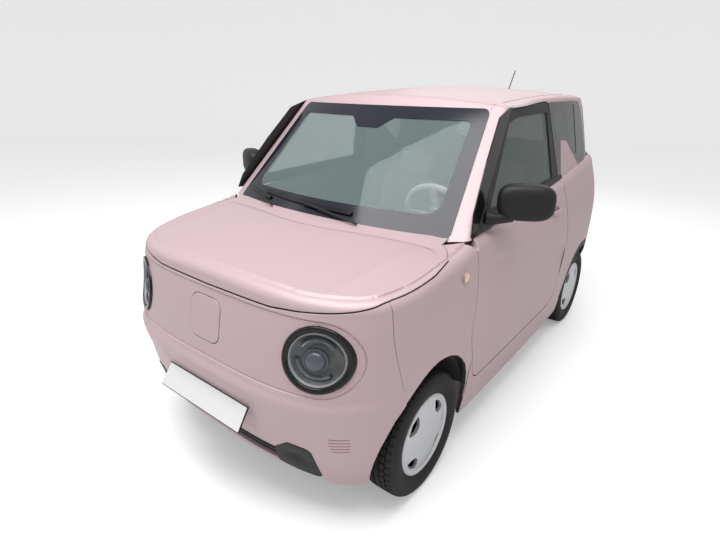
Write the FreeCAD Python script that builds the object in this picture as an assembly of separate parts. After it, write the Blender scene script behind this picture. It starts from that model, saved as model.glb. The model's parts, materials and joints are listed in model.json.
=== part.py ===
import FreeCAD, Part
import math
import os
from FreeCAD import Placement, Rotation, Vector

# Small electric three-door car. Millimetres, +Z up, nose towards -Y, +X is the car's left side.
# The origin is on the ground below the middle of the car.

DOC = FreeCAD.newDocument("Microcar")
SHEET = DOC.addObject("Spreadsheet::Sheet", "Sizes")

# alias, value in millimetres or degrees, what it is
SIZES = [
    ("body_length", 3065, "length over the bumpers"),
    ("body_width", 1522, "width of the body without mirrors"),
    ("roof_top", 1600, "height of the roof crown"),
    ("wheelbase", 2015, "front axle to rear axle"),
    ("track", 1293, "middle of left tyre to middle of right tyre"),
    ("underside", 185, "height of the lower edge of the body"),
    ("widest_level", 820, "height at which the flanks are widest"),
    ("sill_tuck", 49, "how far the flank draws in at the underside"),
    ("belt_tuck", 39, "how far the flank draws in at the shoulder level"),
    ("shoulder_level", 1100, "height where belt_tuck is measured"),
    ("nose_level", 580, "height of the foremost point"),
    ("nose_tuck", 75, "how far the nose draws back at the underside"),
    ("tail_level", 560, "height of the rearmost point"),
    ("tail_tuck", 43, "how far the tail draws in at a height of 1000"),
    ("tail_tuck_level", 1000, "height where tail_tuck is measured"),
    ("nose_depth", 480, "length of the rounded nose in plan"),
    ("tail_depth", 520, "length of the rounded tail in plan"),
    ("flank_bow", 15, "how much narrower the flank is over an axle"),
    ("cabin_bow", 30, "how much narrower the glasshouse is over the rear axle"),
    ("hood_front_level", 965, "hood height behind the front edge"),
    ("hood_rear_level", 1040, "hood height at the windscreen"),
    ("hood_crown", 30, "fall of the hood from the middle to the side"),
    ("hood_edge_radius", 48, "rounding between hood and flank"),
    ("belt_front_level", 1069, "belt height at the front of the door"),
    ("belt_rear_level", 1187, "belt height at the rear quarter"),
    ("screen_foot_y", -885, "windscreen foot on the middle line"),
    ("screen_foot_level", 1043, "height of the windscreen foot"),
    ("screen_head_y", -417, "windscreen head on the middle line"),
    ("screen_head_level", 1498, "height of the windscreen head"),
    ("screen_corner", 30, "length of the rounded windscreen corner in plan"),
    ("screen_foot_sweep", 128, "how far the windscreen sweeps back at its foot"),
    ("screen_head_sweep", 98, "how far the windscreen sweeps back at its head"),
    ("cabin_foot_half", 706, "half width of the glasshouse at its foot"),
    ("cabin_head_half", 614, "half width of the glasshouse at its head"),
    ("cabin_foot_level", 1070, "height of cabin_foot_half"),
    ("cabin_head_level", 1531, "height of cabin_head_half"),
    ("cabin_tail_foot_y", 1440, "glasshouse tail at its foot"),
    ("cabin_tail_head_y", 1352, "glasshouse tail at its head"),
    ("cabin_tail_depth", 450, "length of the rounded tail of the glasshouse"),
    ("roof_peak_y", 504, "where the roof is highest"),
    ("roof_fall", 46, "fall of the roof 900 mm from its peak"),
    ("roof_crown", 47, "fall of the roof 620 mm from the middle line"),
    ("roof_edge_radius", 30, "rounding between roof and glasshouse"),
    ("skin", 22, "thickness of front fenders, bumpers and hood"),
    ("wall", 92, "thickness of a door or side wall below the belt"),
    ("frame_wall", 44, "thickness of pillars and window frames"),
    ("roof_wall", 34, "thickness of the roof"),
    ("gate_wall", 70, "thickness of the tailgate below its window"),
    ("panel_gap", 7, "gap around what opens"),
    ("fixed_gap", 0.7, "gap between fixed panels"),
    ("plate_thick", 3.4, "thickness of the number plate"),
    ("belt_drop", 32, "height of the hood and belt surface above the glasshouse foot"),
    ("glass", 5, "thickness of the glass"),
    ("glass_seat", 14, "width of the ledge that carries fixed glass"),
    ("floor_level", 290, "top of the cabin floor"),
    ("floor_plate", 30, "thickness of the floor pan"),
    ("firewall_y", -800, "front of the cabin"),
    ("arch_front_radius", 322, "front wheel arch"),
    ("arch_rear_radius", 300, "rear wheel arch"),
    ("arch_rise", 10, "height of the arch centre above the wheel centre"),
    ("well_inner_x", 404, "inner wall of a front wheel well"),
    ("rear_well_inner_x", 520, "inner wall of a rear wheel well"),
    ("tyre_radius", 266.5, "outer radius of the tyre"),
    ("tyre_width", 145, "width of the tyre"),
    ("rim_radius", 165.1, "bead seat radius"),
    ("rim_flange", 9, "height of the rim flange above the seat"),
    ("rim_width", 114, "width between the rim flanges"),
    ("cover_bulge", 12, "how far the wheel cover stands out of the rim"),
    ("hub_radius", 62, "hub behind the wheel"),
    ("kingpin_x", 560, "steering axis"),
    ("kingpin_radius", 32, "hub carrier round the steering axis"),
    ("lamp_x", 522, "headlamp centre from the middle line"),
    ("lamp_level", 755, "headlamp centre height"),
    ("lamp_radius", 118, "outer radius of the headlamp bezel"),
    ("tail_lamp_x", 452, "tail lamp centre from the middle line"),
    ("tail_lamp_level", 800, "tail lamp centre height"),
    ("tail_lamp_radius", 82, "outer radius of a tail lamp"),
    ("tail_lamp_thick", 26, "depth of a tail lamp in the tailgate"),
    ("flap_width", 176, "charge flap"),
    ("flap_height", 168, "charge flap"),
    ("flap_level", 768, "charge flap centre height"),
    ("plate_width", 480, "number plate"),
    ("plate_height", 140, "number plate"),
    ("plate_level", 470, "number plate centre height"),
    ("door_front_y", -740, "front edge of the door"),
    ("door_rear_y", 516, "rearmost point of the door"),
    ("door_bottom", 352, "lower edge of the door"),
    ("door_step", 6, "how much smaller the inner part of a door is all round"),
    ("door_lip", 22, "thickness of the door where it is full size"),
    ("post_y", -700, "joint between fender and sill"),
    ("seat_x", 330, "middle of a front seat from the middle line"),
]


def fill_sheet():
    for row, (alias, value, note) in enumerate(SIZES, start=1):
        SHEET.set("A%d" % row, note)
        SHEET.set("B%d" % row, str(value))
        SHEET.setAlias("B%d" % row, alias)
    DOC.recompute()


def size(alias):
    return float(SHEET.get(alias))


fill_sheet()

HALF_LENGTH = size("body_length") / 2
HALF_WIDTH = size("body_width") / 2
AXLE = size("wheelbase") / 2
WHEEL_X = size("track") / 2
HUB_LEVEL = size("tyre_radius")
FAR = 2500
END_SHARES = (0, 0.16, 0.32, 0.47, 0.61, 0.74, 0.85, 0.93, 0.98, 1)


def smooth_square(value):
    return value * value


# Body form: half width, nose and tail as functions of height.

def flank_half(level):
    """Half width of the lower body at one height."""
    widest = size("widest_level")
    if level < widest:
        share = (widest - level) / (widest - size("underside"))
        return HALF_WIDTH - size("sill_tuck") * smooth_square(share)
    share = (level - widest) / (size("shoulder_level") - widest)
    return HALF_WIDTH - size("belt_tuck") * smooth_square(share)


def nose_y(level):
    """Foremost point of the lower body at one height."""
    share = (level - size("nose_level")) / (size("nose_level") - size("underside"))
    return -HALF_LENGTH + 3 + size("nose_tuck") * smooth_square(share)


def tail_y(level):
    """Rearmost point of the lower body at one height."""
    share = (level - size("tail_level")) / (size("tail_tuck_level") - size("tail_level"))
    return HALF_LENGTH - size("tail_tuck") * smooth_square(share)


def between(level, low, high, at_low, at_high):
    return at_low + (at_high - at_low) * (level - low) / (high - low)


def cabin_half(level):
    """Half width of the glasshouse at one height."""
    return between(level, size("cabin_foot_level"), size("cabin_head_level"),
                   size("cabin_foot_half"), size("cabin_head_half"))


def screen_y(level):
    """Windscreen on the middle line at one height."""
    return between(level, size("screen_foot_level"), size("screen_head_level"),
                   size("screen_foot_y"), size("screen_head_y"))


def screen_sweep(level):
    return between(level, size("screen_foot_level"), size("screen_head_level"),
                   size("screen_foot_sweep"), size("screen_head_sweep"))


def cabin_tail_y(level):
    """Tail of the glasshouse on the middle line at one height."""
    return between(level, size("belt_rear_level"), size("cabin_head_level"),
                   size("cabin_tail_foot_y"), size("cabin_tail_head_y"))


def round_along(share, end):
    """Distance behind the tip of a rounded end, at a share of the half width."""
    depth, power, sweep = end
    return depth * (1 - (1 - share ** power) ** (1 / power)) + sweep * smooth_square(share)


def quarter_round(half, end):
    """Points of a rounded end as (across, along), from the tip to the flank."""
    return [(half * share, round_along(share, end)) for share in END_SHARES]


def plan_points(half, nose, tail, ends, bows, level):
    """Closed plan outline at one height. An end is (depth, power, sweep)."""
    front_end, rear_end = ends
    front_bow, rear_bow = bows
    left = [(x, nose + y) for x, y in quarter_round(half, front_end)]
    flank_start = nose + front_end[0] + front_end[2]
    flank_end = tail - rear_end[0] - rear_end[2]
    for k in (1, 2, 3):
        left.append((half, flank_start + (flank_end - flank_start) * k / 4))
    left += [(x, tail - y) for x, y in reversed(quarter_round(half, rear_end))]
    bowed = []
    for x, y in left:
        bow = front_bow if y < 0 else rear_bow
        bowed.append((x * (1 - bow / half * smooth_square(y / AXLE)), y))
    right = [(-x, y) for x, y in reversed(bowed[1:-1])]
    return [Vector(x, y, level) for x, y in bowed + right]


def closed_curve(points):
    curve = Part.BSplineCurve()
    curve.interpolate(Points=points, PeriodicFlag=True)
    return Part.Wire([curve.toShape()])


def lower_ends():
    return (size("nose_depth"), 3.33, 0), (size("tail_depth"), 2.9, 0)


def cabin_ends(level):
    return (size("screen_corner"), 5, screen_sweep(level)), (size("cabin_tail_depth"), 2.4, 0)


def lower_wire(level, inset):
    bow = size("flank_bow")
    ends = lower_ends()
    return closed_curve(plan_points(flank_half(level) - inset, nose_y(level) + inset,
                                    tail_y(level) - inset, ends, (bow, bow), level))


def cabin_wire(level, inset):
    bows = (0, size("cabin_bow"))
    return closed_curve(plan_points(cabin_half(level) - inset, screen_y(level) + inset,
                                    cabin_tail_y(level) - inset, cabin_ends(level), bows, level))


def top_level(y):
    """Height of the hood and, behind it, of the belt on the middle line."""
    marks = [
        (-FAR, size("hood_front_level") - 60),
        (-HALF_LENGTH + 80, size("hood_front_level")),
        (size("screen_foot_y"), size("hood_rear_level")),
        (size("door_front_y"), size("belt_front_level")),
        (800, size("belt_rear_level")),
        (FAR, size("belt_rear_level") + 120),
    ]
    for (y0, z0), (y1, z1) in zip(marks, marks[1:]):
        if y <= y1:
            return z0 + (z1 - z0) * (y - y0) / (y1 - y0)
    return marks[-1][1]


def roof_level(x, y):
    fall_y = size("roof_fall") * smooth_square((y - size("roof_peak_y")) / 900)
    fall_x = size("roof_crown") * smooth_square(x / 620)
    return size("roof_top") - fall_y - fall_x


def hood_level(x, y):
    return top_level(y) - size("hood_crown") * smooth_square(x / 700)


def height_face(level_at, drop):
    """Smooth face over a height field."""
    rows = []
    for j in range(17):
        y = -1700 + 3400 * j / 16
        rows.append([Vector(x, y, level_at(x, y) - drop) for x in range(-900, 901, 225)])
    surface = Part.BSplineSurface()
    surface.interpolate(rows)
    return surface.toShape()


def below_surface(level_at, drop):
    """Solid below a height field, used to trim the body from above."""
    return height_face(level_at, drop).extrude(Vector(0, 0, -1700))


def round_upper_edges(solid, lowest, radius):
    """Round the edges where the top surface meets the walls."""
    edges = []
    for edge in solid.Edges:
        box = edge.BoundBox
        if box.ZMin > lowest and box.YLength + box.XLength > 60:
            edges.append(edge)
    for share in (1, 0.85, 0.7, 0.5):
        try:
            return solid.makeFillet(radius * share, edges)
        except Part.OCCError:
            continue
    raise RuntimeError("the upper edges could not be rounded")


LOWER_LEVELS = (185, 300, 430, 580, 720, 850, 960, 1060, 1150, 1260, 1380)
CABIN_LEVELS = (960, 1070, 1180, 1300, 1420, 1531, 1660)


def lower_body(inset):
    start = size("underside") - (0 if inset == 0 else 30)
    levels = (start,) + LOWER_LEVELS[1:]
    walls = Part.makeLoft([lower_wire(level, inset) for level in levels], True, False)
    solid = walls.common(below_surface(hood_level, inset))
    return round_upper_edges(solid, 800, size("hood_edge_radius") - inset * 0.8)


def cabin_body(inset, drop, rounding):
    walls = Part.makeLoft([cabin_wire(level, inset) for level in CABIN_LEVELS], True, False)
    solid = walls.common(below_surface(roof_level, drop))
    if rounding == 0:
        return solid
    return round_upper_edges(solid, 1300, rounding)


# Cutting shapes

def box_between(x0, x1, y0, y1, z0, z1):
    return Part.makeBox(x1 - x0, y1 - y0, z1 - z0, Vector(x0, y0, z0))


def rounded_outline(corners, place):
    """Closed wire through corners given as (a, b, radius), with tangent arcs at the corners."""
    count = len(corners)
    starts = []
    ends = []
    arcs = []
    for k in range(count):
        a, b, radius = corners[k]
        corner = Vector(a, b, 0)
        back = Vector(corners[k - 1][0], corners[k - 1][1], 0) - corner
        ahead = Vector(corners[(k + 1) % count][0], corners[(k + 1) % count][1], 0) - corner
        back.normalize()
        ahead.normalize()
        if radius == 0:
            starts.append(corner)
            ends.append(corner)
            arcs.append(None)
            continue
        half_angle = back.getAngle(ahead) / 2
        reach = radius / math.tan(half_angle)
        inward = back + ahead
        inward.normalize()
        centre = corner + inward * (radius / math.sin(half_angle))
        starts.append(corner + back * reach)
        ends.append(corner + ahead * reach)
        arcs.append(centre - inward * radius)
    edges = []
    for k in range(count):
        if arcs[k] is not None:
            edges.append(Part.Arc(place(starts[k]), place(arcs[k]), place(ends[k])).toShape())
        following = starts[(k + 1) % count]
        if (following - ends[k]).Length > 0.01:
            edges.append(Part.makeLine(place(ends[k]), place(following)))
    return Part.Wire(edges)


def side_prism(corners, x0, x1, grow=0):
    """Prism along X over an outline given as (y, z, radius)."""
    wire = rounded_outline(corners, lambda p: Vector(x0, p.x, p.y))
    return grown_face(wire, grow).extrude(Vector(x1 - x0, 0, 0))


def front_prism(corners, y0, y1, grow=0):
    """Prism along Y over an outline given as (x, z, radius)."""
    wire = rounded_outline(corners, lambda p: Vector(p.x, y0, p.y))
    return grown_face(wire, grow).extrude(Vector(0, y1 - y0, 0))


def plan_prism(corners, z0, z1, grow=0):
    """Prism along Z over an outline given as (x, y, radius)."""
    wire = rounded_outline(corners, lambda p: Vector(p.x, p.y, z0))
    return grown_face(wire, grow).extrude(Vector(0, 0, z1 - z0))


def grown_face(wire, grow):
    face = Part.Face(wire)
    if grow == 0:
        return face
    return face.makeOffset2D(grow)


def mirror_x(shape):
    return shape.mirror(Vector(0, 0, 0), Vector(1, 0, 0))


def rod(start, end, radius):
    along = Vector(*end) - Vector(*start)
    return Part.makeCylinder(radius, along.Length, Vector(*start), along)


def biggest(shape, count=1):
    """Keep the largest solids of a boolean result, so that slivers are left out."""
    solids = sorted(shape.Solids, key=lambda s: -s.Volume)[:count]
    return solids[0] if count == 1 else Part.makeCompound(solids)


NODES = []


def add_node(label, shape, placement=None):
    part = DOC.addObject("Part::Feature", label)
    part.Shape = shape
    part.Placement = placement if placement else Placement()
    part.Label = label
    NODES.append(part)
    return part


# Outlines of the openings, as (y, z, corner radius) or (x, z, corner radius)

def door_outline():
    """Whole door with its window frame, seen from the side."""
    front = size("door_front_y")
    rear = size("door_rear_y")
    bottom = size("door_bottom")
    return [
        (front, 1046, 16),
        (front, 620, 160),
        (front + 108, bottom, 70),
        (rear - 60, bottom, 70),
        (rear, 720, 260),
        (rear - 180, 1160, 200),
        (235, 1528, 34),
        (-270, 1506, 40),
        (-686, 1078, 60),
    ]


def door_window_outline():
    return [(-590, 1100, 26), (196, 1156, 20), (142, 1486, 24), (-256, 1462, 36)]


def quarter_outline():
    """Fixed side window behind the door, with its stepped lower front edge."""
    return [
        (246, 1528, 14),
        (300, 1345, 20),
        (452, 1335, 30),
        (560, 1180, 20),
        (800, 1186, 60),
        (770, 1530, 60),
    ]


def screen_outline():
    return [(-602, 1040, 30), (602, 1040, 30), (536, 1500, 46), (-536, 1500, 46)]


def rear_window_outline():
    return [(-452, 1214, 50), (452, 1214, 50), (405, 1462, 50), (-405, 1462, 50)]


def tailgate_outline():
    return [(-560, 640, 70), (560, 640, 70), (560, 1080, 120), (455, 1520, 50), (-455, 1520, 50),
            (-560, 1080, 120)]


def hood_outline():
    """Region of the hood above its shut line, seen from the side."""
    return [(-1750, 898, 0), (-1440, 900, 60), (-1280, 950, 120), (-1050, 966, 60), (-860, 972, 0),
            (-860, 1300, 0), (-1750, 1300, 0)]


def hood_plan():
    """Hood seen from above: shoulder lines and a rear edge that follows the windscreen foot."""
    return [(-900, -1300, 0), (-716, -1250, 60), (-712, -1050, 200), (-680, -906, 30), (-560, -892, 100),
            (0, -985, 900), (560, -892, 100), (680, -906, 30), (712, -1050, 200), (716, -1250, 60),
            (900, -1300, 0), (900, -1750, 0), (-900, -1750, 0)]


def bumper_split():
    """Everything ahead of the joint between bumper and front fender."""
    return [(-1310, 1400, 0), (-1312, 900, 60), (-1196, 560, 40), (-1196, 100, 0), (-1800, 100, 0),
            (-1800, 1400, 0)]


def wheel_cutter(y, radius, x0, x1):
    return Part.makeCylinder(radius, x1 - x0, Vector(x0, y, HUB_LEVEL + size("arch_rise")),
                             Vector(1, 0, 0))


# Body solids used by several panels

OUTER_LOWER = lower_body(0)
INNER_LOWER = lower_body(size("skin"))
OUTER_CABIN = cabin_body(0, 0, size("roof_edge_radius"))


def bowed_half(half, bow, y):
    return half * (1 - bow / half * smooth_square(y / AXLE))


def cabin_side_x(y, level):
    """Half width of the glasshouse between its rounded ends."""
    return bowed_half(cabin_half(level), size("cabin_bow") if y > 0 else 0, y)


def end_distance(x, half, bow, tip, end, facing):
    """Distance of a rounded end behind its tip at one x."""
    distance = 0
    for _ in range(8):
        wide = bowed_half(half, bow, tip - distance * facing)
        distance = round_along(min(abs(x) / wide, 0.97), end)
    return distance


def lower_side_x(y, level):
    """Half width of the lower body beside the cabin, with its rounded shoulder."""
    x = bowed_half(flank_half(level), size("flank_bow"), y)
    radius = size("hood_edge_radius")
    rise = min(level - top_level(y) + size("hood_crown") + radius, radius * 0.9)
    if rise > 0:
        x -= radius - math.sqrt(smooth_square(radius) - smooth_square(rise))
    return x


def lower_tail_y(x, level):
    """Rear surface of the lower body."""
    tip = tail_y(level)
    return tip - end_distance(x, flank_half(level), size("flank_bow"), tip, lower_ends()[1], 1)


def screen_surface_y(x, level):
    return screen_y(level) + round_along(min(abs(x) / cabin_half(level), 0.97), cabin_ends(level)[0])


def tail_surface_y(x, level):
    tip = cabin_tail_y(level)
    return tip - end_distance(x, cabin_half(level), size("cabin_bow"), tip, cabin_ends(level)[1], 1)


def spread(low, high, count):
    return [low + (high - low) * k / (count - 1) for k in range(count)]


def side_slab(surface_x, ys, levels, outward, inward):
    """Slab along X that follows a side surface, from outward of it to inward of it."""
    rows = [[Vector(surface_x(y, z) + outward, y, z) for y in ys] for z in levels]
    surface = Part.BSplineSurface()
    surface.interpolate(rows)
    return surface.toShape().extrude(Vector(-outward - inward, 0, 0))


def end_slab(surface_y, xs, levels, outward, inward, facing):
    """Slab along Y that follows a front (facing -1) or rear (facing 1) surface."""
    rows = [[Vector(x, surface_y(x, z) + outward * facing, z) for x in xs] for z in levels]
    surface = Part.BSplineSurface()
    surface.interpolate(rows)
    return surface.toShape().extrude(Vector(0, -(outward + inward) * facing, 0))


def glasshouse_slab(where, outward, inward):
    if where == "side":
        return side_slab(cabin_side_x, spread(-760, 880, 12), spread(1040, 1560, 8), outward, inward)
    if where == "front":
        return end_slab(screen_surface_y, spread(-606, 606, 15), spread(1020, 1520, 8), outward, inward, -1)
    return end_slab(tail_surface_y, spread(-500, 500, 13), spread(1040, 1520, 8), outward, inward, 1)


def chamfered_ring(level, half, front, rear, front_cut, rear_cut):
    corners = [(-half, front + front_cut), (-half + front_cut, front), (half - front_cut, front),
               (half, front + front_cut), (half, rear - rear_cut), (half - rear_cut, rear),
               (-half + rear_cut, rear), (-half, rear - rear_cut)]
    points = [Vector(x, y, level) for x, y in corners]
    return Part.makePolygon(points + points[:1])


def cabin_room():
    """Free space inside the cabin, from the floor to the roof frame."""
    wall = size("wall")
    thin = size("frame_wall")
    floor = size("floor_level")
    sill = size("screen_foot_level")
    head = 1492
    low = Part.makeLoft([
        chamfered_ring(floor, flank_half(floor) - wall, size("firewall_y"), tail_y(floor) - wall, 60, 150),
        chamfered_ring(sill, flank_half(sill) - wall, size("firewall_y"), tail_y(sill) - wall, 60, 150),
    ], True, True)
    high = Part.makeLoft([
        chamfered_ring(sill - 1, cabin_half(sill) - thin, screen_y(sill) + thin, cabin_tail_y(sill) - thin,
                       170, 240),
        chamfered_ring(head, cabin_half(head) - thin, screen_y(head) + thin, cabin_tail_y(head) - thin,
                       130, 240),
    ], True, True)
    return low.fuse(high)


ROOM = cabin_room()


def belt_outline():
    """Everything above the joint between lower body and glasshouse, seen from the side."""
    ys = (-1000, size("screen_foot_y"), size("door_front_y"), 800, 1700)
    line = [(y, top_level(y) - size("belt_drop"), 0) for y in ys]
    return line + [(1700, 1800, 0), (-1000, 1800, 0)]


ABOVE_BELT = side_prism(belt_outline(), -FAR, FAR)
LOWER_WALLS = OUTER_LOWER.common(box_between(-FAR, FAR, size("post_y") + size("fixed_gap"), FAR, 0, 2000))
LOWER_WALLS = LOWER_WALLS.cut(ABOVE_BELT).cut(ROOM)
UPPER_WALLS = OUTER_CABIN.common(ABOVE_BELT).cut(ROOM)


def arch_cutters(grow):
    cutters = []
    for y, radius in ((-AXLE, size("arch_front_radius")), (AXLE, size("arch_rear_radius"))):
        inner = size("well_inner_x") if y < 0 else size("rear_well_inner_x")
        inner -= max(grow - 4, 0)
        for side in (1, -1):
            x0 = inner if side > 0 else -FAR
            x1 = FAR if side > 0 else -inner
            cutters.append(wheel_cutter(y, radius + grow, x0, x1))
            low = box_between(x0, x1, y - radius - grow, y + radius + grow, 0,
                              HUB_LEVEL + size("arch_rise"))
            cutters.append(low)
    return cutters


def cut_all(shape, cutters):
    return shape.cut(list(cutters))


def glazing_cutters(zone, where):
    """A shallow seat for the glass and the opening inside it."""
    outline, x0, x1, prism = zone
    seat = prism(outline, x0, x1, 0.6).common(glasshouse_slab(where, 30, size("glass") + 0.5))
    return [seat, prism(outline, x0, x1, -size("glass_seat"))]


DOOR_WINDOW = (door_window_outline(), 420, 900, side_prism)
QUARTER_WINDOW = (quarter_outline(), 420, 900, side_prism)
SCREEN = (screen_outline(), -1200, 0, front_prism)
REAR_WINDOW = (rear_window_outline(), 1000, 1800, front_prism)


def glass_pane(zone, where):
    outline, x0, x1, prism = zone
    return biggest(glasshouse_slab(where, 0, size("glass")).common(prism(outline, x0, x1)))


def build_lower_shell():
    """Sills, quarters and rear corners below the belt."""
    gap = size("panel_gap")
    cutters = [side_prism(door_outline(), 420, 900, gap), side_prism(door_outline(), -900, -420, gap),
               front_prism(tailgate_outline(), 1150, 1800, gap), rear_bumper_zone(size("fixed_gap")),
               box_between(-620, 620, -FAR, 1330, 0, size("floor_level") + 1)]
    return biggest(cut_all(LOWER_WALLS, cutters + arch_cutters(2)))


def door_prism(grow):
    return side_prism(door_outline(), 420, 900, grow)


def front_post():
    """Post ahead of the left door, with two hinge blocks close to the door's front edge."""
    rear = size("post_y") - size("fixed_gap")
    post = box_between(600, 698, -826, rear, 262, 1005).cut(door_prism(size("panel_gap")))
    blocks = [box_between(640, 690, -780, rear, z, z + 70) for z in (640, 900)]
    blocks = [block.cut(door_prism(0.3 - size("door_step"))) for block in blocks]
    post = post.cut(box_between(684, 700, -830, -780, 985, 1010))
    return post.fuse(blocks)


def build_cabin_frame():
    """Pillars and roof rails round the glass."""
    gap = size("panel_gap")
    cutters = [roof_prism(size("fixed_gap")), side_prism(door_outline(), 420, 900, gap),
               side_prism(door_outline(), -900, -420, gap), front_prism(tailgate_outline(), 1150, 1800, gap)]
    left = glazing_cutters(QUARTER_WINDOW, "side")
    frame = UPPER_WALLS
    for cutter in cutters + left + [mirror_x(shape) for shape in left] + glazing_cutters(SCREEN, "front"):
        frame = frame.cut(cutter)
    leaves = [box_between(x, x + 40, 1280, 1306, 1520.3, 1532) for x in (-320, 280)]
    return biggest(frame.fuse(leaves))


def mirrored_outline(half_outline):
    """Closed outline from its +X half, given from front to rear."""
    return half_outline + [(-x, y, r) for x, y, r in reversed(half_outline) if x > 0]


def roof_prism(grow):
    """Plan region of the roof panel inside the roof rails."""
    half = [(0, -350, 0), (220, -338, 0), (400, -310, 0), (560, -262, 50), (562, 500, 0), (540, 880, 200),
            (500, 1070, 120), (410, 1190, 120), (200, 1286, 150), (0, 1298, 0)]
    return plan_prism(mirrored_outline(half), 1300, 1700, grow)


def screen_foot_prism(grow):
    """Plan region behind the foot of the windscreen."""
    half = [(0, -896, 0), (200, -886, 0), (400, -856, 0), (540, -821, 0), (640, -790, 0), (700, -765, 0),
            (712, -740, 0), (712, -600, 0), (0, -600, 0)]
    return plan_prism(mirrored_outline(half), 940, 1200, grow)


def rear_bumper_zone(grow):
    outline = [(1345 - grow, 100, 0), (1345 - grow, 560, 60), (1460, 612 + grow, 0), (FAR, 612 + grow, 0),
               (FAR, 100, 0)]
    return side_prism(outline, -FAR, FAR)


def build_roof():
    slab = height_face(roof_level, 0).extrude(Vector(0, 0, -size("roof_wall")))
    return biggest(slab.common(roof_prism(0)))


FRONT_OUTER = OUTER_LOWER.common(box_between(-FAR, FAR, -FAR, size("post_y"), 0, 2000))
FRONT_INNER = INNER_LOWER.common(box_between(-FAR, FAR, -FAR, size("post_y") + 50, 0, 2000))
FRONT_SKIN = FRONT_OUTER.cut(FRONT_INNER)


def build_hood():
    zone = side_prism(hood_outline(), -FAR, FAR).common(plan_prism(hood_plan(), 800, 1300))
    return biggest(FRONT_SKIN.common(zone))


def front_skin_below_hood():
    gap = size("panel_gap")
    zone = side_prism(hood_outline(), -FAR, FAR, gap).common(plan_prism(hood_plan(), 800, 1300, gap))
    return FRONT_SKIN.cut(zone)


def lamp_cutter(radius, y0, y1):
    cutters = []
    for side in (1, -1):
        cutters.append(Part.makeCylinder(radius, y1 - y0, Vector(side * size("lamp_x"), y0,
                                                                 size("lamp_level")), Vector(0, 1, 0)))
    return Part.makeCompound(cutters)


def flap_outline():
    half = size("flap_width") / 2
    low = size("flap_level") - size("flap_height") / 2
    high = size("flap_level") + size("flap_height") / 2
    return [(-half, low, 42), (half, low, 42), (half, high, 42), (-half, high, 42)]


def intake_outline():
    """Low black intake between the corner pieces."""
    return [(-470, 232, 20), (470, 232, 20), (505, 300, 30), (430, 385, 30), (-430, 385, 30),
            (-505, 300, 30)]


def build_front_bumper(skin_front):
    bumper = skin_front.common(side_prism(bumper_split(), -FAR, FAR))
    bumper = bumper.cut(lamp_cutter(size("lamp_radius") + 0.3, -1700, -1100))
    bumper = bumper.cut(front_prism(flap_outline(), -1700, -1300, size("panel_gap")))
    bumper = bumper.cut(front_prism(intake_outline(), -1700, -1100, 0.4))
    bumper = cut_all(bumper, arch_cutters(0))
    return biggest(bumper)


def build_fender(skin_front):
    split = side_prism(bumper_split(), -FAR, FAR, size("fixed_gap"))
    fenders = cut_all(skin_front.cut(split), arch_cutters(0))
    fenders = fenders.cut(box_between(-640, 640, -FAR, 0, 0, 2000)).cut(screen_foot_prism(6))
    fenders = fenders.cut(door_prism(size("panel_gap")))
    return biggest(fenders.common(box_between(0, FAR, -FAR, 0, 0, 2000)))


def build_rear_bumper():
    outer = OUTER_LOWER.common(rear_bumper_zone(0))
    inner = INNER_LOWER.common(box_between(-FAR, FAR, 1200, FAR, 0, 2000))
    bumper = outer.cut(inner)
    bumper = cut_all(bumper, arch_cutters(2))
    return biggest(bumper)


def stepped_slab(slab, zone, small_zone, lip, thick):
    """Panel whose inner part is smaller, so that it swings clear of its opening."""
    return slab(0, lip).common(zone).fuse(slab(1 - lip, thick).common(small_zone))


def lower_side_slab(outward, inward):
    return side_slab(lower_side_x, spread(-760, 540, 14), spread(320, 1180, 22), outward, inward)


def build_door():
    """Left door: lower part as thick as the wall with its window frame, and the glass."""
    zone = door_prism(0)
    small = door_prism(-size("door_step"))
    panel = stepped_slab(lower_side_slab, zone, small, size("door_lip"), size("wall")).cut(ABOVE_BELT)
    frame = stepped_slab(lambda outward, inward: glasshouse_slab("side", outward, inward), zone, small,
                         10, 30).common(ABOVE_BELT)
    frame = cut_all(frame, glazing_cutters(DOOR_WINDOW, "side"))
    return biggest(panel.fuse(frame)), glass_pane(DOOR_WINDOW, "side")


def build_tailgate():
    zone = front_prism(tailgate_outline(), 1150, 1800)
    low = end_slab(lower_tail_y, spread(-640, 640, 17), spread(600, 1260, 14), 0, size("gate_wall"), 1)
    low = low.common(zone).cut(rear_bumper_zone(size("panel_gap"))).cut(ABOVE_BELT)
    seats = end_slab(lower_tail_y, spread(-640, 640, 17), spread(600, 1260, 14), 30,
                     size("tail_lamp_thick") + 0.3, 1)
    for cutter in tail_lamp_cutter(size("tail_lamp_radius") + 0.3, 1300, 1700):
        low = low.cut(seats.common(cutter))
    high = end_slab(tail_surface_y, spread(-545, 545, 15), spread(1150, 1580, 8), 0, size("frame_wall"), 1)
    high = high.common(zone).common(ABOVE_BELT)
    high = cut_all(high, glazing_cutters(REAR_WINDOW, "rear"))
    return biggest(low.fuse(high)), glass_pane(REAR_WINDOW, "rear")


# Wheels, drawn about a local Z axis that points outboard

def wheel_place(x, y):
    side = 1 if x > 0 else -1
    return Placement(Vector(x, y, HUB_LEVEL), Rotation(Vector(0, 1, 0), 90 * side))


def revolved(points):
    """Solid of revolution about Z from (radius, height) points."""
    wire = Part.makePolygon([Vector(r, 0, h) for r, h in points + points[:1]])
    return Part.Face(wire).revolve(Vector(0, 0, 0), Vector(0, 0, 1), 360)


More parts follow.
